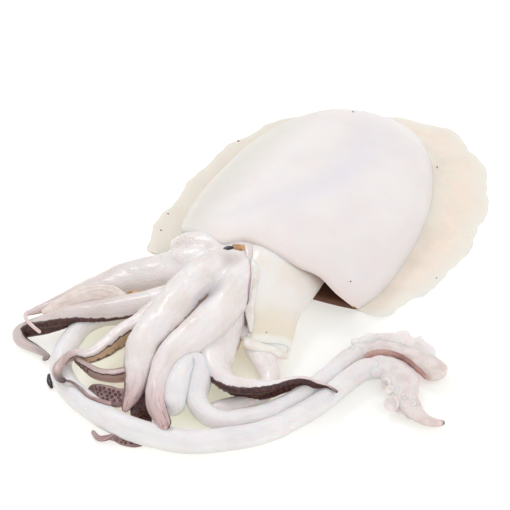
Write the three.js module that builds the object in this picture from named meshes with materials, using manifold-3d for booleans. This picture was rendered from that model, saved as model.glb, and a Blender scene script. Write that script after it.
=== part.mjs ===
// A whole raw cuttlefish, lying on its back: the sack-like mantle with its fin skirt, the funnel,
// the head, eight arms and two long feeding tentacles. The animal is one piece, so it is one solid.
//
// Millimetres. +Y runs along the body from the arms to the tail, +X to the flank on the right,
// +Z up. The origin is in the flat underside of the mantle, on the surface that it lies on.

import * as THREE from 'three';
import { ParametricGeometry } from 'three/addons/geometries/ParametricGeometry.js';
import { mergeVertices } from 'three/addons/utils/BufferGeometryUtils.js';
import Module from 'manifold-3d';

const wasm = await Module();
wasm.setup();

// ---------------------------------------------------------------- driving dimensions

const MANTLE = {
  rimY: -77.5,        // the ventral rim, at the middle of the mouth
  tailY: 98,          // the closed end of the sack
  widestY: -12,       // where the sack is widest
  halfWidth: 63,
  mouthHalfWidth: 55,
  height: 34,
  mouthHeight: 31,
  offset: -2.2,       // the body's axis crosses Y = 0 here
  lean: -0.11,        // and drifts this much in X for each millimetre of Y
  mouthShift: 2.5,    // the mouth sits this far to the right of the axis
  notchX: -12,        // the rim reaches forward on the left of this and stands back on its right
  notch: 6,
  notchWidth: 4,
  leftCorner: 13,     // how far the rim's corners are drawn back
  rightCorner: 7,
  underlip: 8,        // and the wall below the mouth, on the right
  wall: 4,            // thickness of the muscular wall at the mouth
  pocketDepth: 15,    // the mouth is open this far in front of the organs
  valleyDepth: 2.2,   // the soft, bent hollow along the belly
  valleyWidth: 10,
  squareness: 2.7,    // 2 gives an elliptic section, more gives fuller flanks
};

const FIN = {
  root: 3.4,          // thickness where the skirt leaves the sack
  edge: 1.7,          // thickness at its outer edge
  reach: 42,          // how far it runs in under the sack's flank
  fillet: 7,          // and how far it climbs up the flank
  ripple: 1.1,        // waves of the outer edge
  ripples: 13,
  outline: [          // outer edge, from under the right front corner round the tail to the left
    [50, -42], [58, -54], [68, -57], [78, -51], [83, -32], [87, -5], [86, 18], [81, 43], [72, 68],
    [58, 90], [40, 105], [14, 117.5], [-16, 108], [-44, 93], [-61, 81], [-73, 64], [-80, 42],
    [-82.5, 20], [-81, -9], [-77, -30], [-71, -53], [-65, -68], [-55, -82], [-44, -68],
  ],
};

// A limb is swept along its route. Its girth gives width, thickness and roll in degrees at even
// steps of its length: no roll turns the sucker-bearing side down, and a positive roll turns it to
// the left of the limb's way.
const FUNNEL = {
  route: [[20, -58, 15], [26, -74, 14.5], [34.5, -91, 12.5], [42.5, -103, 10], [48, -113, 7.5]],
  girth: [[48, 30, 0], [42, 27, 0], [32, 21, 0], [24, 14, 0], [21, 6.5, 0]],
  ridge: 0.7,         // the ridge along its top leans over to the left
  mouthDepth: 10,
  wall: 1.6,
};

const HEAD = {
  neck: {
    route: [[-4, -58, 15], [-6, -78, 15], [-8, -94, 13.5], [-8, -110, 12]],
    girth: [[72, 26, 0], [70, 27, 0], [54, 25, 0], [38, 20, 0]],
  },
  shoulder: {
    route: [[4, -66, 18], [-6, -80, 18], [-19, -90, 16], [-31, -99, 12], [-42, -110, 9]],
    girth: [[20, 18, 0], [20, 16, 0], [19, 15, 0], [17, 13, 0], [12, 10, 0]],
  },
  collar: {
    route: [[-36.5, -93, 8], [-31.5, -88.5, 12], [-25, -82.5, 16], [-17.5, -78, 19],
      [-7.5, -76.5, 20], [2, -80, 19]],
    girth: [[11, 9, 0], [13, 11.5, 0], [14, 13, 0], [13, 12, 0], [12, 11, 0], [11, 10, 0]],
  },
};

const ARMS = {
  far_flank: {
    route: [[-8, -80, 16], [-19, -95, 15], [-32, -106.5, 12.5], [-42.5, -116.5, 10.5],
      [-50, -126.5, 9], [-56, -136, 8], [-61, -148, 7], [-64.5, -157, 7], [-67, -165.5, 8],
      [-66, -172, 11], [-60, -177, 14], [-53, -179, 14.5], [-49, -178.5, 12.5]],
    girth: [[26, 20, 0], [26, 19, 0], [26, 17.5, 0], [25, 15.5, 0], [24, 14, 0], [21.5, 12, 0],
      [18, 9.5, 5], [15, 7.5, 10], [11, 6, 5], [6, 4.5, 0], [3, 3, 0], [2, 2, 0], [2, 2, 0]],
  },
  far_ribbon: {
    route: [[1.5, -99.5, 16], [-14.5, -125.5, 16], [-23, -135, 14.5], [-32, -145, 13],
      [-43, -155, 11.5], [-49, -162.5, 10], [-55, -169, 8], [-60.5, -174.5, 6.5],
      [-63.5, -179.5, 5], [-59, -183, 4], [-51.5, -182.5, 3.4], [-44.5, -182, 3],
      [-41.5, -182.5, 3], [-42.5, -185.5, 2.5]],
    girth: [[16, 12, 15], [15.5, 12, 15], [15.5, 12, 20], [15, 12, 20], [15, 12, 30],
      [14, 12, 40], [13, 12, 50], [11.5, 12, 70], [10.5, 12, 85], [9, 10, 90], [6.5, 7.5, 75],
      [4.5, 4.5, 50], [2, 2, 0]],
  },
  middle_bent: {
    route: [[1, -101.5, 16], [-11.5, -133.5, 14], [-13, -145, 13], [-15.5, -155.5, 12],
      [-16.5, -167, 11.5], [-18.5, -176, 12], [-23.5, -181, 13.5], [-24, -189, 14.5],
      [-21.5, -195.5, 15], [-16.5, -198, 14.5], [-14.5, -196.5, 13.5]],
    girth: [[15, 13, 10], [14.5, 12.5, 15], [14.5, 12.5, 15], [14, 12, 20], [14, 12, 20],
      [13, 11, 30], [13.5, 11, 40], [12.5, 10.5, 45], [10.5, 9, 45], [8, 7, 30], [6.5, 5.5, 15],
      [5.5, 4.5, 0], [2.5, 2.5, 0]],
  },
  middle_curled: {
    route: [[3.5, -119.5, 12], [5, -147.5, 9], [1.5, -169.5, 7], [-4.5, -176.5, 7],
      [-10.5, -180, 8], [-16.5, -181, 10], [-23, -181.5, 12]],
    girth: [[13, 11, 0], [12.5, 10, 10], [12, 9.5, 15], [11, 8.5, 25], [9.5, 8, 30],
      [7.5, 7.5, 35], [7, 6, 35], [5, 4, 20]],
  },
  front_long: {
    route: [[-1, -76.5, 15], [-2.5, -85, 17.5], [-4, -95, 19], [-4.5, -107, 19], [-3.5, -120, 19],
      [-1.5, -133, 19], [-0.5, -147, 18], [1, -156.5, 16.5], [6, -165.5, 14.5],
      [10.5, -172.5, 12], [14.5, -180.5, 9.5], [17, -190.5, 6.5]],
    girth: [[20, 18, 0], [23, 21, 0], [24, 22, 0], [24, 23, 0], [24, 22, 0], [22.5, 21, 0],
      [21, 19, 0], [19, 17, 0], [17, 15.5, 0], [14.5, 12.5, 0], [11, 9, 0], [3, 3, 0]],
  },
  front_curl: {
    route: [[14, -179.5, 8], [10, -185.5, 7.5], [4, -188, 7.5], [-2.5, -189, 7], [-7, -189.5, 6.5]],
    girth: [[7, 8, 0], [9.5, 9, 0], [11, 9, 0], [9.5, 8.5, 0], [5, 5, 0]],
  },
  front_broad: {
    route: [[1.5, -68, 14], [8, -82, 17], [13, -94.5, 18], [17, -108, 18.5], [19.5, -128, 18.5],
      [18, -140.5, 17.5], [16.5, -151.5, 16], [17.5, -159.5, 14.5], [20.5, -167, 13.5],
      [24.5, -175, 13], [30, -181.5, 12.5], [36.5, -186, 12.5], [44.5, -190.5, 12.5]],
    girth: [[16, 18, 0], [18, 20, 0], [20, 21.5, 0], [21.5, 22, 0], [22, 21.5, 0], [21.5, 20, 0],
      [20, 18, 0], [18, 16, 0], [15, 14, 0], [12, 11, 0], [10.5, 9.5, 0], [9.5, 7.5, 0], [7, 5, 0]],
  },
  near_ribbon: {
    route: [[7.5, -89.5, 13], [15, -104, 12.5], [21.5, -117.5, 11.5], [27.5, -129.5, 10.5],
      [33, -139, 10], [40.5, -145.5, 10], [50.5, -148, 10.3], [57.5, -145.5, 10.3],
      [63.5, -142, 10.3], [68, -136.5, 10.3], [72.5, -129.5, 10.5], [78.5, -124.5, 11],
      [84, -123, 11], [89, -121, 11.5], [95, -122, 12]],
    girth: [[16, 20, 0], [18, 20, 0], [19.5, 19, 0], [20, 17, 0], [20.5, 15.5, -5], [20, 14, -15],
      [17.5, 13, -30], [15, 12.5, -45], [13, 11.5, -60], [11.5, 10, -75], [8.5, 7.5, -85],
      [6.5, 6, -90], [3.5, 3, -80], [1.5, 1.5, 0]],
  },
  underneath: {
    route: [[15, -89, 6], [29, -102, 5.5], [40, -113, 5.5], [50, -121, 5.5], [59, -128, 5],
      [62, -138, 4.5], [58, -148.5, 4], [49, -159.5, 3.5], [45, -164.5, 3]],
    girth: [[15, 11, 0], [16.5, 11, 0], [17.5, 11, 0], [17, 10.5, 0], [13, 8.5, 0],
      [10.5, 7.5, 0], [10, 6.5, 0], [10, 5.5, 0], [6, 4, 0]],
  },
  hidden_tip: {
    route: [[14.5, -151.5, 6], [19.5, -168, 6], [20.5, -177.5, 6], [22, -183.5, 4.5],
      [26.5, -189.5, 2.5], [29, -195, 2.5], [25.5, -199, 2.5], [20, -203, 2.5], [16, -208, 2],
      [10, -206, 2]],
    girth: [[8, 7, 180], [9.5, 7, 180], [11, 7, 180], [12.5, 7, 180], [12, 6, 170], [9.5, 5, 150],
      [8.5, 5, 140], [6, 4, 110], [3.5, 3, 20], [2, 2, 0]],
  },
};

// The club at a tentacle's end is broader, with suckers of very unequal size: each is given by its
// share of the club's length, its place across (-1 to 1) and its radius.
const TENTACLES = {
  outer: {
    stalk: {
      route: [[-4, -92, 9], [-14, -118, 7], [-27.5, -136, 6], [-37, -145.5, 6], [-40.5, -156, 6],
        [-38.5, -167, 6], [-35, -177, 6], [-28.5, -186.5, 6], [-17, -193.5, 6],
        [0.5, -197.5, 6.5], [19, -198, 6.5], [37, -194, 6.5], [55, -186, 6.5], [68, -174, 6.5],
        [79, -159, 6], [85, -144, 6], [89, -127, 5.5], [91, -108, 5.5], [94, -95, 5.5],
        [101, -89, 5.5]],
      girth: [[12, 12, 0], [11, 11, 0], [11, 11, 0], [12, 12, 0], [12.5, 12, 0], [12, 12, 0],
        [11.5, 11.5, 0], [11, 11, 0], [12, 10, 0]],
    },
    club: {
      route: [[92, -98, 5.5], [101, -89, 5.5], [109, -90, 5.5], [117, -97, 5], [125, -103, 4.5],
        [133, -105, 4], [139, -103, 3], [143, -100, 2.5]],
      girth: [[11, 10, 0], [16, 11, 0], [20, 11, 0], [18, 10, 0], [13, 8, 0], [8, 5, 0],
        [3, 3, 0]],
    },
    suckers: [[0.3, -0.3, 2.6], [0.4, 0.3, 4], [0.46, -0.5, 3], [0.56, 0.1, 3], [0.6, 0.65, 2.2],
      [0.67, -0.3, 2.4], [0.76, 0.1, 2]],
  },
  inner: {
    root: {
      route: [[13, -128, 8], [18.5, -145.5, 6.5], [26, -164, 5.5], [35, -177.5, 6]],
      girth: [[11, 11, 0], [13, 11, 0], [14, 11, 0], [15, 11, 0]],
    },
    stalk: {
      route: [[35.5, -179, 7], [32.5, -173.5, 9], [29, -165.5, 11], [26, -157, 12.5],
        [26, -149, 12.5], [31, -148.5, 12], [36, -155, 10.5], [39, -161.5, 8.5], [44, -166, 7],
        [51.5, -167.5, 6], [59, -165, 5.5], [65, -158.5, 5.5], [71, -151, 5.5], [76, -139, 5.2],
        [79, -126, 5.2], [81, -112, 5.2], [82, -97, 5.2], [85, -84, 5.2]],
      girth: [[15, 12, 0], [15, 12.5, 0], [12.5, 12, 0], [11.5, 11.5, 0], [12, 11, 0],
        [11, 10.5, 0], [10, 10.4, 0], [10, 10.4, 0], [10, 10.4, 0], [10, 10.4, 0], [10, 10.4, 0],
        [10, 10.4, 0], [10, 10.4, 0], [10, 10.4, 0]],
    },
    club: {
      route: [[82, -96, 5.2], [85, -84.5, 5.5], [92, -77.5, 6], [102.5, -73.5, 6],
        [113, -73.5, 6], [121, -75, 5.7], [127, -77.5, 5.5]],
      girth: [[10, 10, 0], [12, 10.5, -15], [14, 10.5, -25], [16, 11, -30], [17.5, 11, -30],
        [18, 11, -30], [18, 11, -25], [17, 11, -15], [14, 11, 0]],
    },
    frill: {
      route: [[79.5, -86, 7], [82.5, -78, 8], [90, -70.5, 8.5], [98.5, -66, 9], [109, -65, 9],
        [117.5, -66, 8]],
      girth: [[2, 4, -20], [2.2, 8, -30], [2.2, 10, -30], [2.2, 10, -30], [2, 5, -20]],
    },
    suckers: [[0.5, 0.1, 2.4], [0.64, 0.3, 2.6], [0.78, 0, 2.2]],
  },
};

const SUCKER_HEIGHT = 1.3;
const SUCKER_ROOT = 2.5;         // how deep a sucker's foot goes into the club

// ---------------------------------------------------------------- fineness of the surfaces

const LIMB_STEP = 6.5;           // length of limb for each of its rings
const LIMB_SIDES = 10;
const HEAD_SIDES = 14;
const FRILL_SIDES = 6;
const SUCKER_SIDES = 8;

// ---------------------------------------------------------------- helpers

const clamp = THREE.MathUtils.clamp;
const lerp = THREE.MathUtils.lerp;

// A spline through a short list, read by the share of the way along it.
const splineThrough = (points) => new THREE.CatmullRomCurve3(
  points.map(([a, b, c = 0]) => new THREE.Vector3(a, b, c)),
  false,
  'centripetal',
);

// A value raised to a power, keeping its sign.
const signedPower = (value, power) => Math.sign(value) * Math.abs(value) ** power;

// A closed three.js geometry as a solid that can be joined to others.
function solidFrom(geometry) {
  const bare = geometry.clone();
  bare.deleteAttribute('normal');
  bare.deleteAttribute('uv');
  const merged = mergeVertices(bare, 1e-3);
  const corners = merged.index.array;
  const kept = [];
  for (let i = 0; i < corners.length; i += 3) {
    const [a, b, c] = [corners[i], corners[i + 1], corners[i + 2]];
    if (a !== b && b !== c && c !== a) kept.push(a, b, c);
  }
  const mesh = new wasm.Mesh({
    numProp: 3,
    vertProperties: new Float32Array(merged.attributes.position.array),
    triVerts: new Uint32Array(kept),
  });
  mesh.merge();
  return new wasm.Manifold(mesh);
}

// A closed surface from point(around, along): both ends of "along" draw in to one point. The
// section is read backwards, so that the faces point out.
function solidSurface(point, around, along) {
  const surface = (u, v, target) => target.copy(point((1 - u) % 1, v));
  return solidFrom(new ParametricGeometry(surface, around, along));
}

// ---------------------------------------------------------------- limbs

// The frame that a limb's section stands in: across and up, at a share of its route.
function limbFrame(route, share) {
  const centre = route.getPointAt(share);
  const way = route.getTangentAt(share);
  const across = new THREE.Vector3().crossVectors(way, new THREE.Vector3(0, 0, 1)).normalize();
  const up = new THREE.Vector3().crossVectors(across, way);
  return { centre, across, up };
}

// A point on a limb's skin. What would sink below Z = 0 lies flat there instead.
function limbPoint(limb, route, girth, around, share, shrink) {
  const { centre, across, up } = limbFrame(route, share);
  const size = girth.getPoint(share);
  const roll = THREE.MathUtils.degToRad(size.z);
  const turn = 2 * Math.PI * around;
  const rise = size.y / 2 * signedPower(Math.sin(turn), 0.9) * shrink;
  const lean = (limb.ridge ?? 0) * Math.max(rise, 0);
  const wide = size.x / 2 * Math.cos(turn) * shrink + lean;
  const x = wide * Math.cos(roll) + rise * Math.sin(roll);
  const z = rise * Math.cos(roll) - wide * Math.sin(roll);
  const point = centre.clone().addScaledVector(across, x).addScaledVector(up, z);
  point.z = Math.max(point.z, 0);
  return point;
}

// Sweeps a limb. Both ends are rounded off over a length like half their thickness, in two rings.
function limbSolid(limb, sides = LIMB_SIDES) {
  const route = splineThrough(limb.route);
  const girth = splineThrough(limb.girth);
  const length = route.getLength();
  const rings = Math.ceil(length / LIMB_STEP) + 4;
  const endPart = 2 / rings;
  const cap = (size) => clamp(size / 2 / length, 0.01, 0.2);
  const rootCap = cap(limb.girth[0][1]);
  const tipCap = cap(limb.girth.at(-1)[1]);
  const ease = (part) => 1 - Math.cos(Math.PI / 2 * part);
  const along = (v) => {
    if (v < endPart) return rootCap * ease(v / endPart);
    if (v > 1 - endPart) return 1 - tipCap * ease((1 - v) / endPart);
    return lerp(rootCap, 1 - tipCap, (v - endPart) / (1 - 2 * endPart));
  };
  const shrink = (share) => {
    const rootPart = clamp(share / rootCap, 0, 1);
    const tipPart = clamp((1 - share) / tipCap, 0, 1);
    return Math.sqrt(1 - (1 - rootPart) ** 2) * Math.sqrt(1 - (1 - tipPart) ** 2);
  };
  return solidSurface((u, v) => {
    const share = along(v);
    return limbPoint(limb, route, girth, u, share, shrink(share));
  }, sides, rings);
}

// The suckers that stand on a club: low rings with a dimple, set square to its upper side.
function suckerSolids({ club, suckers }) {
  const route = splineThrough(club.route);
  const girth = splineThrough(club.girth);
  return suckers.map(([share, offset, radius]) => {
    const { centre, across, up } = limbFrame(route, share);
    const size = girth.getPoint(share);
    const out = across.clone().multiplyScalar(offset).add(up).normalize();
    const reach = size.y / 2 * Math.sqrt(1 - offset ** 2);
    const foot = centre.clone().addScaledVector(across, offset * size.x / 2);
    foot.addScaledVector(up, reach);
    const profile = [
      [0, -SUCKER_ROOT], [radius, -SUCKER_ROOT], [radius, SUCKER_HEIGHT * 0.5],
      [radius * 0.75, SUCKER_HEIGHT], [0, SUCKER_HEIGHT * 0.3],
    ].map(([r, h]) => new THREE.Vector2(r, h));
    const ring = new THREE.LatheGeometry(profile, SUCKER_SIDES);
    ring.applyQuaternion(new THREE.Quaternion().setFromUnitVectors(new THREE.Vector3(0, 1, 0), out));
    ring.translate(foot.x, foot.y, foot.z);
    return solidFrom(ring);
  });
}

// ---------------------------------------------------------------- mantle and fin

// Where the sack's middle lies, which leans a little off the line of the body.
const mantleAxis = (y) => MANTLE.offset + MANTLE.lean * y;

// Half the sack's width and its height, from the rim (0) to the tail (1).
function mantleSection(share) {
  const y = lerp(MANTLE.rimY, MANTLE.tailY, share);
  const back = clamp((y - MANTLE.widestY) / (MANTLE.tailY - MANTLE.widestY), 0, 1);
  const front = clamp((MANTLE.widestY - y) / (MANTLE.widestY - MANTLE.rimY), 0, 1);
  const half = y > MANTLE.widestY
    ? MANTLE.halfWidth * (1 - back ** 2.1) ** 0.52
    : lerp(MANTLE.halfWidth, MANTLE.mouthHalfWidth, front ** 3.2);
  const height = y > MANTLE.widestY
    ? MANTLE.height * (1 - back ** 2.3) ** 0.5
    : lerp(MANTLE.height, MANTLE.mouthHeight, front ** 2);
  return { y, half, height };
}

// A point on the sack's section: the dome above, and the flat underside below.
function mantlePoint(around, share, inset) {
  const { y, half, height } = mantleSection(share);
  const domeShare = 0.72;
  const curve = 2 / MANTLE.squareness;
  let x;
  let z;
  if (around < domeShare) {
    const turn = Math.PI * around / domeShare;
    x = half * signedPower(Math.cos(turn), curve);
    z = height * signedPower(Math.sin(turn), curve);
  } else {
    x = lerp(-half, half, (around - domeShare) / (1 - domeShare));
    z = 0;
  }
  const middle = Math.sin(Math.PI * clamp(share * 1.15, 0, 1)) ** 0.7;
  const valleyX = 13 - 24 * ((y - 8) / (y < 8 ? 50 : 90)) ** 2;
  const across = (x - valleyX) / MANTLE.valleyWidth;
  const valley = MANTLE.valleyDepth * middle * Math.exp(-(across ** 2));
  z = Math.max(z - valley * z / height, 0);
  const keepX = 1 - inset / half;
  const keepZ = 1 - 2 * inset / height;
  const fade = (1 - share) ** 2;
  const notch = MANTLE.notch * Math.tanh((x - MANTLE.notchX) / MANTLE.notchWidth);
  const corner = (x < 0 ? MANTLE.leftCorner : MANTLE.rightCorner) * Math.abs(x / half) ** 6;
  const underlip = MANTLE.underlip * Math.max(x / half, 0) * (1 - z / height) ** 2;
  return new THREE.Vector3(
    x * keepX + mantleAxis(y) + fade * MANTLE.mouthShift,
    y + fade * (notch + corner + underlip),
    height / 2 + (z - height / 2) * keepZ,
  );
}

// The sack, with its mouth open as a pocket behind the rounded rim.
function mantleSolid() {
  const around = 36;
  const along = 23;
  const lipRings = 5;
  const pocket = [
    [MANTLE.pocketDepth, 40], [MANTLE.pocketDepth, MANTLE.wall + 1.2], [1.5, MANTLE.wall],
    [0, MANTLE.wall * 0.5], [0.9, 0.5],
  ];
  const floor = mantleSection(0);
  const deepestY = MANTLE.rimY + MANTLE.pocketDepth;
  const middleX = mantleAxis(deepestY) + MANTLE.mouthShift;
  const deepest = new THREE.Vector3(middleX, deepestY, floor.height / 2);
  const tail = new THREE.Vector3(mantleAxis(MANTLE.tailY), MANTLE.tailY, 0);
  return solidSurface((u, v) => {
    const ring = Math.round(v * along);
    if (ring === 0) return deepest;
    if (ring === along) return tail;
    if (ring < lipRings) {
      const [depth, inset] = pocket[ring];
      const point = mantlePoint(u, 0, inset);
      point.y += depth;
      return point;
    }
    const tailward = (ring - lipRings) / (along - lipRings);
    return mantlePoint(u, lerp(0.02, 1, Math.sin(tailward * Math.PI / 2) ** 1.15), 0);
  }, around, along);
}

// The fin: a thin skirt round both flanks and the tail, lying flat, with a rippled edge.
function finSolid() {
  const edge = splineThrough(FIN.outline);
  const section = [[0, 0], [1, 0], [1, 1], [0.5, 1], [0.25, 1], [0, 1], [0, 0.5]];
  const along = 52;
  return solidSurface((u, v) => {
    const outer = edge.getPointAt(v);
    const ends = clamp(Math.min(v, 1 - v) / 0.05, 0, 1);
    const axisY = clamp(outer.y * 0.8, -70, 45);
    const inward = new THREE.Vector3(mantleAxis(axisY), axisY, 0).sub(outer).normalize();
    outer.addScaledVector(inward, FIN.ripple * Math.sin(2 * Math.PI * FIN.ripples * v));
    const [out, top] = section[Math.round(u * section.length) % section.length];
    const climb = FIN.fillet * THREE.MathUtils.smoothstep(1 - out, 0.4, 0.95);
    const thickness = (lerp(FIN.root, FIN.edge, out) + climb) * ends;
    const point = outer.addScaledVector(inward, FIN.reach * (1 - out * ends));
    point.z = top * thickness;
    return point;
  }, section.length, along);
}

// ---------------------------------------------------------------- funnel

// The funnel: a soft cone that leaves the mouth and is open at its tip.
function funnelSolid() {
  const route = splineThrough(FUNNEL.route);
  const girth = splineThrough(FUNNEL.girth);
  const length = route.getLength();
  const around = 18;
  const along = 15;
  const outside = along - 4;
  const inner = [[0, FUNNEL.wall * 0.4], [0.06, FUNNEL.wall], [0.5, FUNNEL.wall * 1.2], [1, 99]];
  return solidSurface((u, v) => {
    const ring = Math.round(v * along);
    if (ring <= outside) {
      return limbPoint(FUNNEL, route, girth, u, ring / outside, ring === 0 ? 0 : 1);
    }
    const [depth, inset] = inner[ring - outside - 1];
    const share = 1 - depth * FUNNEL.mouthDepth / length;
    const height = girth.getPoint(share).y;
    return limbPoint(FUNNEL, route, girth, u, share, Math.max(1 - 2 * inset / height, 0));
  }, around, along);
}

// ---------------------------------------------------------------- the whole animal

const pieces = [
  mantleSolid(),
  finSolid(),
  funnelSolid(),
  ...Object.values(HEAD).map((piece) => limbSolid(piece, HEAD_SIDES)),
  ...Object.values(ARMS).map((arm) => limbSolid(arm)),
];
for (const tentacle of Object.values(TENTACLES)) {
  pieces.push(limbSolid(tentacle.stalk), limbSolid(tentacle.club), ...suckerSolids(tentacle));
}
pieces.push(limbSolid(TENTACLES.inner.root), limbSolid(TENTACLES.inner.frill, FRILL_SIDES));
const animal = pieces.reduce((whole, piece) => whole.add(piece));

const mesh = animal.getMesh();
const geometry = new THREE.BufferGeometry();
geometry.setAttribute('position', new THREE.Float32BufferAttribute(mesh.vertProperties, mesh.numProp));
geometry.setIndex(new THREE.BufferAttribute(mesh.triVerts, 1));
geometry.computeVertexNormals();

const flesh = new THREE.MeshStandardMaterial({ color: 0xefe9e6, roughness: 0.35, metalness: 0 });
const cuttlefish = new THREE.Mesh(geometry, flesh);
cuttlefish.name = 'cuttlefish';

const part = new THREE.Group();
part.add(cuttlefish);

export default part;
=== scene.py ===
# %% [markdown]
# # A whole raw cuttlefish, lying on its back
#
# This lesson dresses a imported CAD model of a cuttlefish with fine, wet flesh. The animal is soft,
# smooth and almost white, so nearly all of its character comes from slow curves, thin edges, the
# dark skin inside its arms and a film of water. Each code cell makes one thing, or a few helpers,
# and prints what it made or measured.

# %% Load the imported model
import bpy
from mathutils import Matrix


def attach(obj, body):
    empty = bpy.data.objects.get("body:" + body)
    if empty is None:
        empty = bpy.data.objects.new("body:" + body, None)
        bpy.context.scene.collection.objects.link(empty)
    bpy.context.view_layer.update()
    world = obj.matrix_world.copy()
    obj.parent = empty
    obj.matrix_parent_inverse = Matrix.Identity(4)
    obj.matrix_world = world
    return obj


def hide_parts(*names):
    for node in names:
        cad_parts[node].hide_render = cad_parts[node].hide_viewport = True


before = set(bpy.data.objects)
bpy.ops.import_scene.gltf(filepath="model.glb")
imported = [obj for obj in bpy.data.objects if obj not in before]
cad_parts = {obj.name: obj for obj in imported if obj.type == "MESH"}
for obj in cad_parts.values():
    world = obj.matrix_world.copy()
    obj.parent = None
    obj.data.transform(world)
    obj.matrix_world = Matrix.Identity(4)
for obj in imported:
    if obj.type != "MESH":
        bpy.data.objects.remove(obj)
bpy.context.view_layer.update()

# %% The libraries and the unit
import math

import bmesh
import bpy
import numpy as np
from mathutils import Vector

MM = 0.001          # the routes below are in millimetres, and Blender works in metres
ANIMAL = "cuttlefish"         # the CAD node that the pieces below stand for
print("a millimetre is", MM, "m; the pieces stand for", ANIMAL)

# %% [markdown]
# ## The camera
#
# The picture looks down at 40 degrees onto the arms and the right flank. The lens is long, so
# lines stay nearly parallel. A camera is aimed most simply by its distance, azimuth and height
# over the point that it looks at.

# %% Aim the camera
LOOK_AT = Vector((-8, -52, 0)) * MM
DISTANCE = 750 * MM
AZIMUTH, ELEVATION = math.radians(37), math.radians(40)
HALF_WIDTH = 142.22 * MM      # half of what the picture spans at the point that it looks at

back = Vector((math.sin(AZIMUTH) * math.cos(ELEVATION),
               -math.cos(AZIMUTH) * math.cos(ELEVATION),
               math.sin(ELEVATION)))
camera = bpy.data.objects.new("camera", bpy.data.cameras.new("camera"))
bpy.context.scene.collection.objects.link(camera)
camera.data.sensor_width = 36
camera.data.lens = camera.data.sensor_width / 2 * DISTANCE / HALF_WIDTH
camera.location = LOOK_AT + back * DISTANCE
camera.rotation_mode = "QUATERNION"
camera.rotation_quaternion = (-back).to_track_quat("-Z", "Y")
bpy.context.scene.camera = camera
print("lens", round(camera.data.lens, 1), "mm at", [round(v, 3) for v in camera.location])

# %% [markdown]
# ## Floor and light
#
# The animal lies on a light table: white acrylic that is lit from above and glows a little from
# below, which keeps the gaps between the arms open and the shadows faint. A white world gives the
# soft light from all sides. One lamp above on the left draws the small wet glints, and a broad one
# on the right keeps that flank open.

# %% The light table
FLOOR_SIZE = 8.0
FLOOR_DROP = 0.0002           # the table lies a hair lower than the animal
TABLE_GREY = (0.52, 0.52, 0.51, 1)

half = FLOOR_SIZE / 2
table_mesh = bpy.data.meshes.new("table")
table_mesh.from_pydata(
    [(-half, -half, 0), (half, -half, 0), (half, half, 0), (-half, half, 0)], [], [(0, 1, 2, 3)])
floor = bpy.data.objects.new("table", table_mesh)
bpy.context.scene.collection.objects.link(floor)
floor.location.z = -FLOOR_DROP
table_material = bpy.data.materials.new("light_table")
table_material.use_nodes = True
glow = table_material.node_tree.nodes["Principled BSDF"]
glow.inputs["Base Color"].default_value = TABLE_GREY
glow.inputs["Roughness"].default_value = 0.7
table_mesh.materials.append(table_material)
print("table:", FLOOR_SIZE, "m wide")

# %% World and lamps
WORLD_STRENGTH = 0.79
LAMP_AIM = Vector((0, -0.05, 0))
LAMPS = {                     # place, size and watts
    "window_above": ((-0.75, 0.3, 1.0), (0.35, 0.3), 3.2),
    "window_right": ((0.9, -0.2, 0.9), (0.8, 0.8), 2.4),
}
world = bpy.data.worlds.new("soft_white")
world.use_nodes = True
world.node_tree.nodes["Background"].inputs["Color"].default_value = (1, 1, 1, 1)
world.node_tree.nodes["Background"].inputs["Strength"].default_value = WORLD_STRENGTH
bpy.context.scene.world = world
for name, (place, size, watts) in LAMPS.items():
    lamp = bpy.data.objects.new(name, bpy.data.lights.new(name, "AREA"))
    bpy.context.scene.collection.objects.link(lamp)
    lamp.data.shape = "RECTANGLE"
    lamp.data.size, lamp.data.size_y = size
    lamp.data.energy = watts
    lamp.location = place
    lamp.rotation_euler = (LAMP_AIM - Vector(place)).to_track_quat("-Z", "Y").to_euler()
bpy.context.scene.view_settings.view_transform = "Standard"
print("lamps:", sorted(LAMPS))

# %% [markdown]
# ## Curves through short lists
#
# Every limb is drawn by a few points along its middle and a few sizes. A centripetal Catmull-Rom
# curve goes through all of them and never loops where points stand close, which suits limp arms.
# The CAD model uses the same curve, so the fine skin lies where its solid lies.

# %% A smooth curve through a list, and a route read by its length
LENGTH_SAMPLES, ROUTE_SAMPLES = 600, 1200


def through(points, places):
    """The curve through a list of points, read at places from 0 to 1 along the list."""
    points = np.array(points, float)
    last = len(points) - 1
    place = np.clip(np.asarray(places, float), 0, 1) * last
    step = np.minimum(place.astype(int), last - 1)
    part = (place - step)[:, None]
    start, end = points[step], points[step + 1]
    before = np.where((step > 0)[:, None], points[step - 1], 2 * start - end)
    after = np.where((step < last - 1)[:, None], points[np.minimum(step + 2, last)],
                     2 * end - start)
    gaps = [np.maximum(np.linalg.norm(b - a, axis=1, keepdims=True), 1e-6) ** 0.5
            for a, b in ((before, start), (start, end), (end, after))]
    lead = ((start - before) / gaps[0] - (end - before) / (gaps[0] + gaps[1])
            + (end - start) / gaps[1]) * gaps[1]
    leave = ((end - start) / gaps[1] - (after - start) / (gaps[1] + gaps[2])
             + (after - end) / gaps[2]) * gaps[1]
    return (start + lead * part + (3 * (end - start) - 2 * lead - leave) * part ** 2
            + (2 * (start - end) + lead + leave) * part ** 3)


def length_of(route):
    line = through(route, np.linspace(0, 1, LENGTH_SAMPLES))
    return np.linalg.norm(np.diff(line, axis=0), axis=1).sum()


def along_route(route, shares):
    """Middle points and directions at shares of a route's length."""
    places = np.linspace(0, 1, ROUTE_SAMPLES)
    line = through(route, places)
    reach = np.concatenate([[0], np.cumsum(np.linalg.norm(np.diff(line, axis=0), axis=1))])
    at = np.interp(np.clip(shares, 0, 1) * reach[-1], reach, places)
    way = through(route, np.minimum(at + 1e-3, 1)) - through(route, np.maximum(at - 1e-3, 0))
    return through(route, at), way / np.linalg.norm(way, axis=1, keepdims=True)


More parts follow.
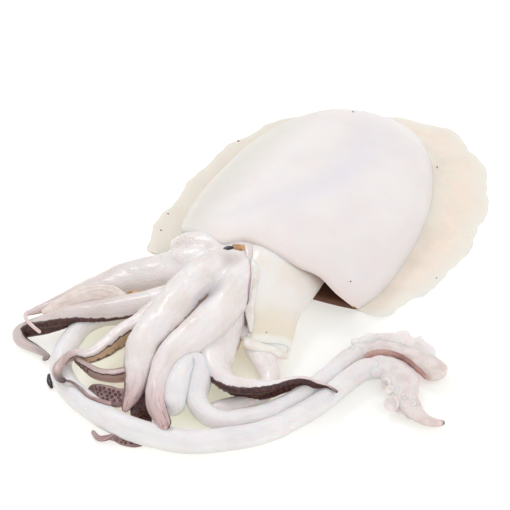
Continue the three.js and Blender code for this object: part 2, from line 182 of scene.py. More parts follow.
def limb_frame(route, shares):
    """Middle, across and up at shares of a route: across points to the right of its way."""
    middle, way = along_route(route, shares)
    across = np.cross(way, (0, 0, 1))
    across /= np.linalg.norm(across, axis=1, keepdims=True)
    return middle, across, np.cross(across, way)


print("curves ready; a test arc is", round(length_of([(0, 0, 0), (10, 0, 0), (20, 5, 0)]), 2), "mm")

# %% [markdown]
# ## Unevenness
#
# Flesh is never a clean tube. A sum of slow waves in different directions gives swellings that are
# the same on each run, and it is quick because it works on all points of a mesh at once.

# %% Slow waves over a set of points
WAVE_COUNT = 7


def waves(points, size, seed):
    """Soft unevenness, mostly from -1 to 1, with bumps about size millimetres apart."""
    draw = np.random.default_rng(seed)
    flat = points.reshape(-1, 3)
    total = np.zeros(len(flat))
    for _ in range(WAVE_COUNT):
        direction = draw.normal(size=3)
        direction /= np.linalg.norm(direction) * size * draw.uniform(0.7, 1.5)
        total += np.sin(2 * math.pi * (flat @ direction) + draw.uniform(0, 6.28))
    return (total / (WAVE_COUNT / 2)).reshape(points.shape[:-1])


def smooth_step(low, high, value):
    part = np.clip((value - low) / (high - low), 0, 1)
    return part * part * (3 - 2 * part)


print("a wave sample:", np.round(waves(np.array([[0.0, 0, 0], [9, 4, 2]]), 8, 1), 2))

# %% [markdown]
# ## From rings to a closed skin
#
# Every body part here is a stack of rings with a point at each end. Quads join the rings and fans
# of triangles close the ends, so each skin is one closed shell. Values that the materials need,
# such as how far round a point lies from the suckers, are stored as attributes of the mesh.

# %% Build a skin
def set_vectors(mesh, key, vectors):
    values = np.asarray(vectors, np.float32).ravel()
    mesh.attributes.new(key, "FLOAT_VECTOR", "POINT").data.foreach_set("vector", values)


def skin(name, rings, first, last, values=None, flow=None):
    """Rings (rings, around, 3) in millimetres, closed by an end point on each side."""
    count, around = rings.shape[:2]
    points = np.concatenate([rings.reshape(-1, 3), [first], [last]]) * MM
    ring = np.arange(count - 1)[:, None] * around
    here, there = np.arange(around), (np.arange(around) + 1) % around
    quads = np.stack([ring + here, ring + there, ring + around + there, ring + around + here], -1)
    head, tail = count * around, count * around + 1
    base = (count - 1) * around
    fans = [(head, int(b), int(a)) for a, b in zip(here, there)]
    fans += [(tail, int(base + a), int(base + b)) for a, b in zip(here, there)]
    mesh = bpy.data.meshes.new(name)
    mesh.from_pydata(points.tolist(), [], quads.reshape(-1, 4).tolist() + fans)
    for key, value in (values or {}).items():
        value = np.broadcast_to(value, (count, around))
        full = np.concatenate([value.ravel(), [value[0].mean()], [value[-1].mean()]])
        full = full.astype(np.float32)
        mesh.attributes.new(key, "FLOAT", "POINT").data.foreach_set("value", full)
    if flow is not None:
        set_vectors(mesh, "flow", np.concatenate(
            [flow.reshape(-1, 3), [flow[0].mean(0)], [flow[-1].mean(0)]]))
    return finish_mesh(name, mesh)


def finish_mesh(name, mesh):
    """Smooth shading, faces out, and an object that holds the mesh."""
    form = bmesh.new()
    form.from_mesh(mesh)
    bmesh.ops.recalc_face_normals(form, faces=form.faces)
    form.to_mesh(mesh)
    form.free()
    mesh.polygons.foreach_set("use_smooth", [True] * len(mesh.polygons))
    piece = bpy.data.objects.new(name, mesh)
    bpy.context.scene.collection.objects.link(piece)
    return piece


def keep(piece, material):
    """A finished piece: its material, its body, and the node that it stands for."""
    piece.data.materials.clear()
    piece.data.materials.append(material)
    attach(piece, "root")
    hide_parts(ANIMAL)
    return piece


print("skins can be built")

# %% [markdown]
# ## Shared effects as node groups
#
# Three effects come back in most of the materials: slow blotches of a second tint, the film of
# water that makes glints, and streaks that run along a limb. Each is a node group with named
# inputs, built once. A fourth group holds the pigment on the sucker side of the arms, which is long
# enough to be clearer on its own. A group only puts out colours, masks and heights. The shaders
# stay in the materials.

# %% Feed a socket and add a node
FLOAT, COLOUR = "NodeSocketFloat", "NodeSocketColor"


def feed(tree, socket, value):
    """Link a socket to another node's output, or set its own value."""
    if isinstance(value, bpy.types.NodeSocket):
        tree.links.new(value, socket)
    else:
        socket.default_value = value


def add_node(tree, kind, inputs=None, **settings):
    """A node with its settings, and its inputs fed by name or number."""
    node = tree.nodes.new(kind)
    for key, value in settings.items():
        setattr(node, key, value)
    for key, value in (inputs or {}).items():
        feed(tree, node.inputs[key], value)
    return node


print("nodes can be added")


# %% The few nodes that nearly all effects are made of
def mix_colour(tree, factor, a, b):
    return add_node(tree, "ShaderNodeMix", {0: factor, 6: a, 7: b}, data_type="RGBA").outputs[2]


def remap(tree, value, low, high, new_low=0.0, new_high=1.0):
    """A soft step from new_low, at low, to new_high, at high."""
    return add_node(tree, "ShaderNodeMapRange", {
        "Value": value, "From Min": low, "From Max": high, "To Min": new_low, "To Max": new_high},
        interpolation_type="SMOOTHSTEP").outputs["Result"]


def calculate(tree, operation, *values):
    node = add_node(tree, "ShaderNodeMath", dict(enumerate(values)), operation=operation)
    return node.outputs[0]


def place_on(tree):
    """The place on the piece, in metres."""
    return add_node(tree, "ShaderNodeTexCoord").outputs["Object"]


def skin_value(tree, name):
    """A value that is stored on the skin, such as how far round a limb a point lies."""
    return add_node(tree, "ShaderNodeAttribute", attribute_name=name).outputs["Fac"]


def noise(tree, scale, detail, roughness=0.5, distortion=0.0, vector=None):
    return add_node(tree, "ShaderNodeTexNoise", {
        "Vector": vector or place_on(tree), "Scale": scale, "Detail": detail,
        "Roughness": roughness, "Distortion": distortion}).outputs["Fac"]


print("effects can be built")


# %% A node group, and placing one in a material
def node_group(name, inputs, outputs):
    """A group with its sockets: a number makes a plain input, and COLOUR a colour input."""
    group = bpy.data.node_groups.new(name, "ShaderNodeTree")
    for key, value in inputs.items():
        kind = COLOUR if value == COLOUR else FLOAT
        socket = group.interface.new_socket(name=key, in_out="INPUT", socket_type=kind)
        if kind == FLOAT:
            socket.default_value = value
    for key, kind in outputs.items():
        group.interface.new_socket(name=key, in_out="OUTPUT", socket_type=kind)
    return group, group.nodes.new("NodeGroupInput"), group.nodes.new("NodeGroupOutput")


def place_group(tree, group, inputs):
    return add_node(tree, "ShaderNodeGroup", inputs, node_tree=group)


print("groups can be built")

# %% Blotches: a second tint that comes and goes slowly
blotches, into, out_of = node_group(
    "blotches", {"Colour": COLOUR, "Tint": COLOUR, "Size": 0.02, "Amount": 0.5},
    {"Colour": COLOUR})
cloud = noise(blotches, calculate(blotches, "DIVIDE", 1.0, into.outputs["Size"]), 3.0, 0.55)
amount = calculate(blotches, "MULTIPLY", remap(blotches, cloud, 0.38, 0.68),
                   into.outputs["Amount"])
feed(blotches, out_of.inputs["Colour"],
     mix_colour(blotches, amount, into.outputs["Colour"], into.outputs["Tint"]))
print("blotches:", len(blotches.nodes), "nodes")

# %% Wet film: wrinkles, patches of fine pebbling, and how dull the water on them is
PEBBLE_SCALE = 620.0          # the scales are features in a metre
PATCH_SCALE = 70.0
GRAIN_SCALE = 1400.0
WET_PEBBLES = 0.3             # how much more a wet place is pebbled
WET_SHINE = 0.3               # and how much smoother the water on it is

wet_film, into, out_of = node_group(
    "wet_film",
    {"Wrinkle size": 0.004, "Wrinkles": 0.5, "Grain": 0.2, "Pebbles": 0.3, "Dull": 0.0},
    {"Height": FLOAT, "Roughness": FLOAT})
slow = noise(wet_film, calculate(wet_film, "DIVIDE", 1.0, into.outputs["Wrinkle size"]), 2.0,
             distortion=0.6)
pebble = remap(wet_film, noise(wet_film, PEBBLE_SCALE, 1.0), 0.42, 0.66)
patch = remap(wet_film, noise(wet_film, PATCH_SCALE, 1.0), 0.48, 0.62)
wet = skin_value(wet_film, "wet")
pebble_share = calculate(wet_film, "MULTIPLY_ADD", patch, into.outputs["Pebbles"],
                         calculate(wet_film, "MULTIPLY", wet, WET_PEBBLES))
fine = calculate(wet_film, "MULTIPLY", noise(wet_film, GRAIN_SCALE, 2.0), into.outputs["Grain"])
fine = calculate(wet_film, "MULTIPLY_ADD", pebble, pebble_share, fine)
height = calculate(wet_film, "MULTIPLY_ADD", slow, into.outputs["Wrinkles"], fine)
rough = calculate(wet_film, "ADD", remap(wet_film, slow, 0.3, 0.75, 0.3, 0.5),
                  into.outputs["Dull"])
rough = calculate(wet_film, "MULTIPLY_ADD", wet, -WET_SHINE, rough)
feed(wet_film, out_of.inputs["Height"], height)
feed(wet_film, out_of.inputs["Roughness"], rough)
print("wet film:", len(wet_film.nodes), "nodes")

# %% Streaks: fine lines that follow a limb
streaks, into, out_of = node_group("streaks", {"Size": 0.0012}, {"Amount": FLOAT})
flow = add_node(streaks, "ShaderNodeAttribute", attribute_name="flow").outputs["Vector"]
lines = noise(streaks, calculate(streaks, "DIVIDE", 1.0, into.outputs["Size"]), 3.0, 0.6,
              vector=flow)
feed(streaks, out_of.inputs["Amount"], remap(streaks, lines, 0.44, 0.64))
print("streaks:", len(streaks.nodes), "nodes")

# %% Sucker side: pigment on the inner face of an arm, with a darker line along its edges
CELL_SCALE = 620.0            # pigment cells in a metre
RAGGED_SCALE = 420.0          # how fine the face's ragged edge is
RAGGED_REACH = 0.34           # how far that edge wanders

sucker_side, into, out_of = node_group(
    "sucker_side", dict.fromkeys(("Skin", "Face", "Pigment", "Pale net", "Line"), COLOUR),
    {"Colour": COLOUR})
ragged = noise(sucker_side, RAGGED_SCALE, 3.0)
wander = calculate(sucker_side, "MULTIPLY_ADD", ragged, RAGGED_REACH, -RAGGED_REACH / 2)
facing = calculate(sucker_side, "ADD", skin_value(sucker_side, "oral"), wander)
facing = calculate(sucker_side, "SUBTRACT", facing, skin_value(sucker_side, "narrow"))
inner_face = remap(sucker_side, facing, 0.16, 0.30)
cells = add_node(sucker_side, "ShaderNodeTexVoronoi", {
    "Vector": place_on(sucker_side), "Scale": CELL_SCALE}, feature="DISTANCE_TO_EDGE")
net = remap(sucker_side, cells.outputs["Distance"], 0.02, 0.14, 1.0, 0.0)
net = calculate(sucker_side, "MULTIPLY", net, remap(sucker_side, ragged, 0.4, 0.6))
stained = mix_colour(sucker_side, net, into.outputs["Pigment"], into.outputs["Pale net"])
face = mix_colour(sucker_side, skin_value(sucker_side, "stain"), into.outputs["Face"], stained)
colour = mix_colour(sucker_side, inner_face, into.outputs["Skin"], face)
edge = calculate(sucker_side, "MULTIPLY", remap(sucker_side, facing, 0.10, 0.22),
                 remap(sucker_side, facing, 0.24, 0.36, 1.0, 0.0))
edge = calculate(sucker_side, "MULTIPLY", edge, skin_value(sucker_side, "line"))
feed(sucker_side, out_of.inputs["Colour"],
     mix_colour(sucker_side, edge, colour, into.outputs["Line"]))
print("sucker side:", len(sucker_side.nodes), "nodes")

# %% [markdown]
# ## Painted shade on the table
#
# Beside and among the arms the table gets painted shade: its glow is a little dimmer there, and
# yellower among the arms. Two soft ellipses, seen from above, are enough for that. They dim the
# table's own glow, which leaves the light on the animal as it is.

# %% Dim and tint the table with painted shade
# Painted shade on the table: dimmer beside and among the arms, yellower among them
SHADE_BESIDE_ARMS = dict(centre=(0.065, -0.095), radii=(0.11, 0.07), inner=0.35, low=0.76)
SHADE_AMONG_ARMS = dict(centre=(0.010, -0.150), radii=(0.075, 0.056), inner=0.5, low=0.74)
TABLE_GLOW = 0.62
TABLE_WHITE = (1.0, 0.99, 0.95, 1)
SHADE_YELLOW = (0.97, 0.94, 0.72, 1)


def ellipse_fade(tree, centre, radii, inner, low, turn=0.0):
    """1 outside an ellipse seen from above, easing down to low inside it; sizes in metres."""
    moved = add_node(tree, "ShaderNodeMapping", {
        "Vector": place_on(tree), "Location": (*centre, 0), "Scale": (*radii, 1),
        "Rotation": (0, 0, math.radians(turn))}, vector_type="TEXTURE")
    far = add_node(tree, "ShaderNodeVectorMath", {0: moved.outputs["Vector"]}, operation="LENGTH")
    return remap(tree, far.outputs["Value"], inner, 1.0, low, 1.0)


table_tree = table_material.node_tree
painted_shade = calculate(table_tree, "MULTIPLY", ellipse_fade(table_tree, **SHADE_BESIDE_ARMS),
                   ellipse_fade(table_tree, **SHADE_AMONG_ARMS))
feed(table_tree, glow.inputs["Emission Strength"],
     calculate(table_tree, "MULTIPLY", painted_shade, TABLE_GLOW))
# The painted yellow shade among the arms
unshaded = ellipse_fade(table_tree, **dict(SHADE_AMONG_ARMS, low=0.0))
feed(table_tree, glow.inputs["Emission Color"],
     mix_colour(table_tree, unshaded, SHADE_YELLOW, TABLE_WHITE))
print("table:", len(table_tree.nodes), "nodes")

# %% [markdown]
# ## The flesh materials
#
# Raw flesh lets light in and spreads it, so each material scatters light under its surface, a
# little further for red. Over that lies a clear coat, which is the water. Base colours are a bit
# lower than white, because the bright table adds light from below.

# %% One function for all wet flesh
FLESH_RADIUS = (1.0, 0.55, 0.42)
WATER = {"Coat Roughness": 0.12, "Coat IOR": 1.36}


def flesh_material(name, base_colour, scatter, wrinkle_size, wrinkles, grain, coat, depth=0.0025,
                   pebbles=0.2, dull=0.0, streaky=0.0):
    """base_colour is a function of the tree that returns a colour socket."""
    material = bpy.data.materials.new(name)
    material.use_nodes = True
    tree = material.node_tree
    shader = tree.nodes["Principled BSDF"]
    film = place_group(tree, wet_film, {
        "Wrinkle size": wrinkle_size, "Wrinkles": wrinkles, "Grain": grain, "Pebbles": pebbles,
        "Dull": dull})
    height = film.outputs["Height"]
    if streaky:
        height = calculate(tree, "MULTIPLY_ADD", streaks_of(tree, 0.0016), streaky, height)
    bump = add_node(tree, "ShaderNodeBump", {"Height": height, "Strength": 0.5, "Distance": 0.0006})
    finish = {"Subsurface Weight": scatter, "Subsurface Radius": FLESH_RADIUS,
              "Subsurface Scale": depth, "Coat Weight": coat, **WATER,
              "Base Color": base_colour(tree), "Roughness": film.outputs["Roughness"],
              "Normal": bump.outputs["Normal"]}
    for key, value in finish.items():
        feed(tree, shader.inputs[key], value)
    print(name, "has", len(tree.nodes), "nodes")
    return material


SKIN_SHARE = 0.96    # how much of a seen colour is the skin's own; the rest is the shine on it


def rgb(red, green, blue):
    """The skin colour, in linear light, that is seen as these values from 0 to 255."""
    return tuple(SKIN_SHARE * ((v / 255 + 0.055) / 1.055) ** 2.4
                 for v in (red, green, blue)) + (1.0,)


def blotched(tree, colour, tint, size, amount=0.8):
    return place_group(tree, blotches, {
        "Colour": rgb(*colour), "Tint": rgb(*tint), "Size": size,
        "Amount": amount}).outputs["Colour"]


def streaks_of(tree, size):
    return place_group(tree, streaks, {"Size": size}).outputs["Amount"]


def tint_by(tree, key, colour, tint):
    """The tint where the skin's own value is 1."""
    return mix_colour(tree, skin_value(tree, key), colour, rgb(*tint))


print("pale flesh in linear light:", [round(v, 3) for v in rgb(236, 231, 230)])


# %% Mantle skin: pale, painted cool shade in the hollow, warmer at the rim, brown and painted shade in the mouth
def mantle_colour(tree):
    pale = blotched(tree, (244, 238, 237), (238, 230, 230), 0.04)
    # Painted shade: a cool tint along the hollow
    pale = tint_by(tree, "hollow", pale, (232, 229, 238))
    pale = tint_by(tree, "rim", pale, (238, 227, 223))
    pale = tint_by(tree, "flank", pale, (230, 226, 219))
    depth = skin_value(tree, "depth")
    # Inside the mouth: orange-brown flesh, going to a painted dark shade deeper in
    deep = mix_colour(tree, remap(tree, depth, 0.35, 0.8), rgb(226, 160, 108), rgb(58, 22, 14))
    return mix_colour(tree, remap(tree, depth, 0.04, 0.3), pale, deep)


mantle_skin = flesh_material("mantle_skin", mantle_colour, scatter=0.5, wrinkle_size=0.009,
                             wrinkles=0.5, grain=0.15, coat=0.1, pebbles=0.15, dull=0.14)


# %% Fin skin: thin and cream, clearer at its edge
def fin_colour(tree):
    cream = blotched(tree, (242, 233, 220), (233, 223, 210), 0.02)
    edge = remap(tree, skin_value(tree, "outward"), 0.62, 1.0)
    cream = mix_colour(tree, edge, cream, rgb(238, 235, 227))
    return tint_by(tree, "flank", cream, (230, 227, 217))


fin_skin = flesh_material("fin_skin", fin_colour, scatter=0.6, wrinkle_size=0.005, wrinkles=0.6,
                          grain=0.3, coat=0.12, pebbles=0.3, dull=0.1)


# %% Funnel skin: smooth cream, lighter at its lip, with painted shade deep in the bore
def funnel_colour(tree):
    cream = blotched(tree, (245, 240, 236), (240, 230, 219), 0.02)
    along = skin_value(tree, "along")
    cream = mix_colour(tree, remap(tree, along, 0.55, 0.86, 0.0, 0.7), cream, rgb(241, 229, 208))
    cream = mix_colour(tree, remap(tree, along, 0.90, 0.96), cream, rgb(250, 244, 236))
    # Painted shade: darker deeper in the bore
    return tint_by(tree, "depth", cream, (232, 218, 198))


funnel_skin = flesh_material("funnel_skin", funnel_colour, scatter=0.55, wrinkle_size=0.006,
                             wrinkles=0.6, grain=0.15, coat=0.45, pebbles=0.2, dull=0.05)

# %% Arm skin: warm white with faint streaks, mauve towards the tips, dark inside
# Where the painted grey shade lies, in the crease between two front arms
CREASE_SHADE = dict(centre=(0.0105, -0.1165), radii=(0.0175, 0.0070), inner=0.0, low=0.1, turn=92)


def arm_colour(tree):
    """Skin, sucker side and black tip; the crease is a painted grey shade between two front arms.
    """
    lines = streaks_of(tree, 0.0024)
    pale = blotched(tree, (248, 242, 242), (239, 230, 224), 0.014)
    pale = mix_colour(tree, calculate(tree, "MULTIPLY", lines, 0.2), pale, rgb(228, 212, 209))
    mauve = mix_colour(tree, lines, rgb(216, 184, 182), rgb(172, 132, 134))
    back_skin = mix_colour(tree, skin_value(tree, "mauve"), pale, mauve)
    back_skin = tint_by(tree, "grey", back_skin, (196, 180, 176))
    # Painted shade in the crease between the two front arms
    back_skin = mix_colour(tree, ellipse_fade(tree, **CREASE_SHADE), rgb(188, 183, 190), back_skin)
    side = place_group(tree, sucker_side, {
        "Skin": back_skin, "Face": tint_by(tree, "mauve", rgb(228, 198, 164), (200, 166, 168)),
        "Pigment": rgb(46, 9, 4), "Pale net": rgb(110, 50, 42), "Line": rgb(74, 28, 26)})
    return tint_by(tree, "black", side.outputs["Colour"], (26, 16, 18))


arm_skin = flesh_material("arm_skin", arm_colour, scatter=0.4, wrinkle_size=0.003, wrinkles=0.9,
                          grain=0.3, coat=0.55, depth=0.0018, pebbles=0.5, streaky=0.35)


# %% Tentacle skin: white, pinker at the clubs, with a brown sucker side and painted shade underneath
def tentacle_colour(tree):
    lines = streaks_of(tree, 0.003)
    white = blotched(tree, (246, 243, 244), (234, 231, 233), 0.016)
    white = mix_colour(tree, calculate(tree, "MULTIPLY", lines, 0.25), white, rgb(232, 226, 225))
    pink = blotched(tree, (238, 227, 223), (221, 205, 200), 0.006, 0.9)
    tube = mix_colour(tree, skin_value(tree, "mauve"), white, pink)
    round_way = skin_value(tree, "oral")
    # Painted shade: the underside of each tube is greyer
    shade = remap(tree, round_way, -0.4, 0.6, 0.0, 0.6)
    tube = mix_colour(tree, shade, tube, rgb(208, 207, 203))
    stained = calculate(tree, "MULTIPLY", skin_value(tree, "stain"),
                        remap(tree, round_way, -0.22, -0.08))
    brown = mix_colour(tree, lines, rgb(208, 172, 162), rgb(186, 140, 134))
    return tint_by(tree, "black", mix_colour(tree, stained, tube, brown), (40, 26, 30))


tentacle_skin = flesh_material("tentacle_skin", tentacle_colour, scatter=0.55, wrinkle_size=0.005,
                               wrinkles=0.7, grain=0.25, coat=0.15, pebbles=0.5, dull=0.1,
                               streaky=0.4)


# %% Small parts: suckers, the membranes, the organs and the specks
def membrane_colour(tree):
    pale = blotched(tree, (247, 237, 231), (238, 225, 220), 0.005, 0.9)
    lines = calculate(tree, "MULTIPLY", streaks_of(tree, 0.002), 0.6)
    return mix_colour(tree, lines, pale, rgb(220, 202, 193))


def plain(colour, tint, size):
    return lambda tree: blotched(tree, colour, tint, size, 0.9)


membrane_skin = flesh_material("membrane_skin", membrane_colour, scatter=0.5, wrinkle_size=0.003,
                               wrinkles=0.8, grain=0.3, coat=0.4, depth=0.0012, pebbles=0.5,
                               streaky=0.5)
membrane_pale = flesh_material("membrane_pale", plain((247, 241, 235), (236, 226, 216), 0.006),
                               scatter=0.6, wrinkle_size=0.004, wrinkles=0.8, grain=0.3,
                               coat=0.2, depth=0.0015, pebbles=0.4, dull=0.08)
SMALL_FINISHES = {            # colour, then scatter, wrinkle_size, wrinkles, grain, coat and depth
    "sucker_dark": (plain((100, 44, 36), (62, 20, 16), 0.004), 0.2, 0.002, 0.3, 0.2, 0.6, 0.0008),
    "sucker_pale": (plain((247, 239, 236), (232, 219, 216), 0.005),
                    0.5, 0.003, 0.3, 0.2, 0.3, 0.001),
    "organ_skin": (plain((212, 166, 112), (150, 92, 52), 0.003),
                   0.3, 0.002, 0.4, 0.2, 0.6, 0.001),
    "speck_skin": (plain((40, 34, 34), (60, 44, 40), 0.002), 0.1, 0.002, 0.2, 0.2, 0.4, 0.0004),
}
small_skins = {name: flesh_material(name, *values) for name, values in SMALL_FINISHES.items()}
print(len(bpy.data.materials), "materials")

# %% [markdown]
# ## The mantle
#
# The mantle is a muscular sack. From the belly it is a flattened dome with full flanks, a soft
# hollow along its middle, and a rim that runs back towards the right. Rings from the bottom of the
# mouth over the lip to the tail give one closed skin with a real opening, where a sphere pushed
# into shape would have none.

# %% The sack's sizes
MANTLE = dict(
    rim_y=-77.5, tail_y=98, widest_y=-12, half_width=63, mouth_half_width=55, height=34,
    mouth_height=31, squareness=2.7, offset=-2.2, lean=-0.11, mouth_shift=2.5,
    notch_x=-12, notch=6, notch_width=4, left_corner=13, right_corner=2, underlip=13,
    bay=3.5, bay_x=40, bay_width=9, wall=4, pocket_depth=15)
VALLEY = dict(depth=2.2, width=10, x=13, bend=24, y=8, front=50, rear=90)
DOME_SHARE = 0.72             # how much of a ring is the dome; the rest is the flat underside
MANTLE_AROUND = 220


def mantle_axis(y):
    return MANTLE["offset"] + MANTLE["lean"] * y


print("the sack is", MANTLE["tail_y"] - MANTLE["rim_y"], "mm long; its middle leans from x",
      round(mantle_axis(MANTLE["rim_y"]), 1), "to", round(mantle_axis(MANTLE["tail_y"]), 1))


# %% One ring of the sack
def mantle_section(y):
    """Across and up for the ring at y, with its half width and its height.

    It starts at the right flank and runs over the dome to the left, then back underneath.
    """
    m = MANTLE
    back_part = np.clip((y - m["widest_y"]) / (m["tail_y"] - m["widest_y"]), 0, 1)
    front_part = np.clip((m["widest_y"] - y) / (m["widest_y"] - m["rim_y"]), 0, 1)
    half = (m["half_width"] * (1 - back_part ** 2.1) ** 0.52
            + (m["mouth_half_width"] - m["half_width"]) * front_part ** 3.2)
    height = (m["height"] * (1 - back_part ** 2.3) ** 0.5
              + (m["mouth_height"] - m["height"]) * front_part ** 2)
    turn_share = np.arange(MANTLE_AROUND) / MANTLE_AROUND
    turn = math.pi * turn_share / DOME_SHARE
    dome = turn_share < DOME_SHARE
    power = 2 / m["squareness"]
    x = np.where(dome, half * np.sign(np.cos(turn)) * np.abs(np.cos(turn)) ** power,
                 -half + 2 * half * (turn_share - DOME_SHARE) / (1 - DOME_SHARE))
    z = np.where(dome, height * np.abs(np.sin(turn)) ** power, 0)
    return x, z, half, height


def valley_at(x, y, share):
    """How deep a point lies in the hollow along the belly, from 0 to 1."""
    reach = VALLEY["front"] if y < VALLEY["y"] else VALLEY["rear"]
    middle_x = VALLEY["x"] - VALLEY["bend"] * ((y - VALLEY["y"]) / reach) ** 2
    fade = np.sin(math.pi * min(share * 1.15, 1)) ** 0.7
    return fade * np.exp(-((x - middle_x) / VALLEY["width"]) ** 2)


def mantle_ring(share, inset=0.0, shift=0.0):
    """One ring of the sack, from the rim (0) to the tail (1), drawn in by inset."""
    m = MANTLE
    y = m["rim_y"] + (m["tail_y"] - m["rim_y"]) * share
    x, z, half, height = mantle_section(y)
    hollow = valley_at(x, y, share)
    z = np.maximum(z - VALLEY["depth"] * hollow * z / height, 0)
    fade = (1 - share) ** 2
    notch = m["notch"] * np.tanh((x - m["notch_x"]) / m["notch_width"])
    corner = np.where(x < 0, m["left_corner"], m["right_corner"]) * np.abs(x / half) ** 6
    corner = corner + m["underlip"] * np.clip(x / half, 0, 1) * (1 - z / height) ** 2
    corner = corner + m["bay"] * np.exp(-((x - m["bay_x"]) / m["bay_width"]) ** 2) * z / height
    ring = np.stack([
        x * (1 - inset / half) + mantle_axis(y) + fade * m["mouth_shift"],
        y + fade * (notch + corner) + shift,
        height / 2 + (z - height / 2) * (1 - 2 * inset / height)], -1)
    return ring, hollow


print("rings of", MANTLE_AROUND, "points")

# %% The sack's rings: down into the mouth, over the lip, and back to the tail
POCKET_ROWS, LIP_ROWS, SACK_ROWS = 14, 7, 149
lip = MANTLE["wall"] / 2
rows = []                     # share, inset, shift, depth into the mouth
for depth in np.linspace(MANTLE["pocket_depth"], lip, POCKET_ROWS):
    rows.append((0.0, MANTLE["wall"], depth, depth / MANTLE["pocket_depth"]))
for angle in np.linspace(0, math.pi, LIP_ROWS + 2)[1:-1]:
    rows.append((0.0, lip * (1 + math.cos(angle)), lip * (1 - math.sin(angle)), 0.0))
start = lip / (MANTLE["tail_y"] - MANTLE["rim_y"])
for part in np.linspace(0, 1, SACK_ROWS + 1)[:-1]:
    rows.append((start + (1 - start) * math.sin(part * math.pi / 2) ** 1.15, 0.0, 0.0, 0.0))
rings, hollows = zip(*(mantle_ring(share, inset, shift) for share, inset, shift, _ in rows))
shares = np.array([row[0] for row in rows])[:, None]
depths = np.array([row[3] for row in rows])[:, None]

FLOOR_STEPS = np.array([0.3, 0.6, 0.85])      # from the pocket's deepest point to its wall
deepest_y = MANTLE["rim_y"] + MANTLE["pocket_depth"]
deepest = np.array([mantle_axis(deepest_y), deepest_y, MANTLE["mouth_height"] / 2])
pocket_floor = deepest + (rings[0] - deepest) * FLOOR_STEPS[:, None, None]
extra = len(FLOOR_STEPS)
rings = np.concatenate([pocket_floor, rings])
hollows = np.concatenate([np.zeros((extra, MANTLE_AROUND)), hollows])
shares = np.concatenate([np.zeros((extra, 1)), shares])
depths = np.concatenate([np.ones((extra, 1)), depths])
print("mantle rings:", len(rings))

# %% The sack's skin, with the values that its material reads
WET_SPOT = (-40, -68)         # where the loose skin at the left corner shines
lift = np.clip(rings[..., 2] / 20, 0, 1)
swell = 0.45 * waves(rings, 46, 3) + 0.16 * waves(rings, 13, 4)
rings[..., 2] = np.maximum(rings[..., 2] - lift * (0.6 - swell), 0)
side = rings[..., 0] - mantle_axis(rings[..., 1])
from_spot = np.hypot(rings[..., 0] - WET_SPOT[0], rings[..., 1] - WET_SPOT[1])
# Painted shade: the low part of the lip on the right takes the mouth's dark colour
lip_shade = 0.7 * (shares < 0.01) * smooth_step(8, 4, rings[..., 2]) * smooth_step(16, 30, side)
mantle = skin("mantle", rings, deepest, (mantle_axis(MANTLE["tail_y"]), MANTLE["tail_y"], 0), {
    # painted cool shade along the hollow
    "hollow": hollows * smooth_step(0.02, 0.25, shares) * 0.6,
    "rim": (1 - smooth_step(0.0, 0.10, shares)) * 0.8,
    "flank": smooth_step(20, 46, -side) * 0.95,
    "wet": 0.35 * smooth_step(26, 8, from_spot),
    "depth": np.maximum(depths, lip_shade),
})
keep(mantle, mantle_skin)
print("mantle:", len(mantle.data.polygons), "faces")

# %% [markdown]
# ## The fin
#
# The fin is a thin skirt that leaves the sack low on both flanks and meets behind the tail. Its
# outer edge follows one drawn outline with small waves, and its free margin lifts here and there.

# %% The fin's outline, with its waves
FIN = dict(root=3.4, edge=1.5, reach=42, ripple=1.1, ripples=13, fillet=7, lift=0.6,
           fine_ripple=0.45, fine_ripples=41, fine_groups=7)
FIN_OUTLINE = [
    (50, -42, 0), (58, -54, 0), (68, -57, 0), (78, -51, 0), (83, -32, 0), (87, -5, 0), (86, 18, 0),
    (81, 43, 0), (72, 68, 0), (58, 90, 0), (40, 105, 0), (14, 117.5, 0), (-16, 108, 0),
    (-44, 93, 0), (-61, 81, 0), (-73, 64, 0), (-80, 42, 0), (-82.5, 20, 0), (-81, -9, 0),
    (-77, -30, 0), (-72, -53, 0), (-67, -71, 0), (-56, -87, 0), (-44, -72, 0)]
FIN_ALONG = 420
FIN_ROWS = 15                 # from the outer edge in to the root, on each face

fin_shares = np.linspace(0, 1, FIN_ALONG + 2)[1:-1]
edge_line, _ = along_route(FIN_OUTLINE, fin_shares)
axis_y = np.clip(edge_line[:, 1] * 0.8, -70, 45)
inward = np.stack([mantle_axis(axis_y), axis_y, 0 * axis_y], -1) - edge_line
inward /= np.linalg.norm(inward, axis=1, keepdims=True)
round_trip = 2 * math.pi * fin_shares
fine_wave = np.sin(FIN["fine_ripples"] * round_trip + 1.3) * np.sin(FIN["fine_groups"] * round_trip)
ripple = FIN["ripple"] * np.sin(FIN["ripples"] * round_trip) + FIN["fine_ripple"] * fine_wave
edge_line = edge_line + inward * ripple[:, None]
print("fin outline:", round(length_of(FIN_OUTLINE)), "mm")

# %% The fin's skin
ends = np.clip(np.minimum(fin_shares, 1 - fin_shares) / 0.05, 0, 1)[:, None] ** 0.6
top_row = np.linspace(0, 1, FIN_ROWS)
rows_in = np.concatenate([top_row, top_row[::-1]])[None, :]
reach_in = FIN["reach"] * rows_in
fin_rings = edge_line[:, None] + inward[:, None] * (reach_in * ends)[..., None]
upward = np.where(np.arange(2 * FIN_ROWS) < FIN_ROWS, 0.5, -0.5)[None, :]
thick = FIN["edge"] + (FIN["root"] - FIN["edge"]) * rows_in
thick = (thick + FIN["fillet"] * smooth_step(0.4, 0.95, rows_in)) * ends
rounded = np.minimum(1, np.sqrt(np.clip(reach_in / 1.2, 0, 1)))
raised = FIN["lift"] * (1 - rows_in) ** 2 * ends * (1 + waves(fin_rings, 24, 8))
fin_rings[..., 2] = np.maximum(raised + thick * (0.5 + upward * rounded), 0)
tips = fin_rings.mean(1)
beside = fin_rings[..., 0] - mantle_axis(fin_rings[..., 1])
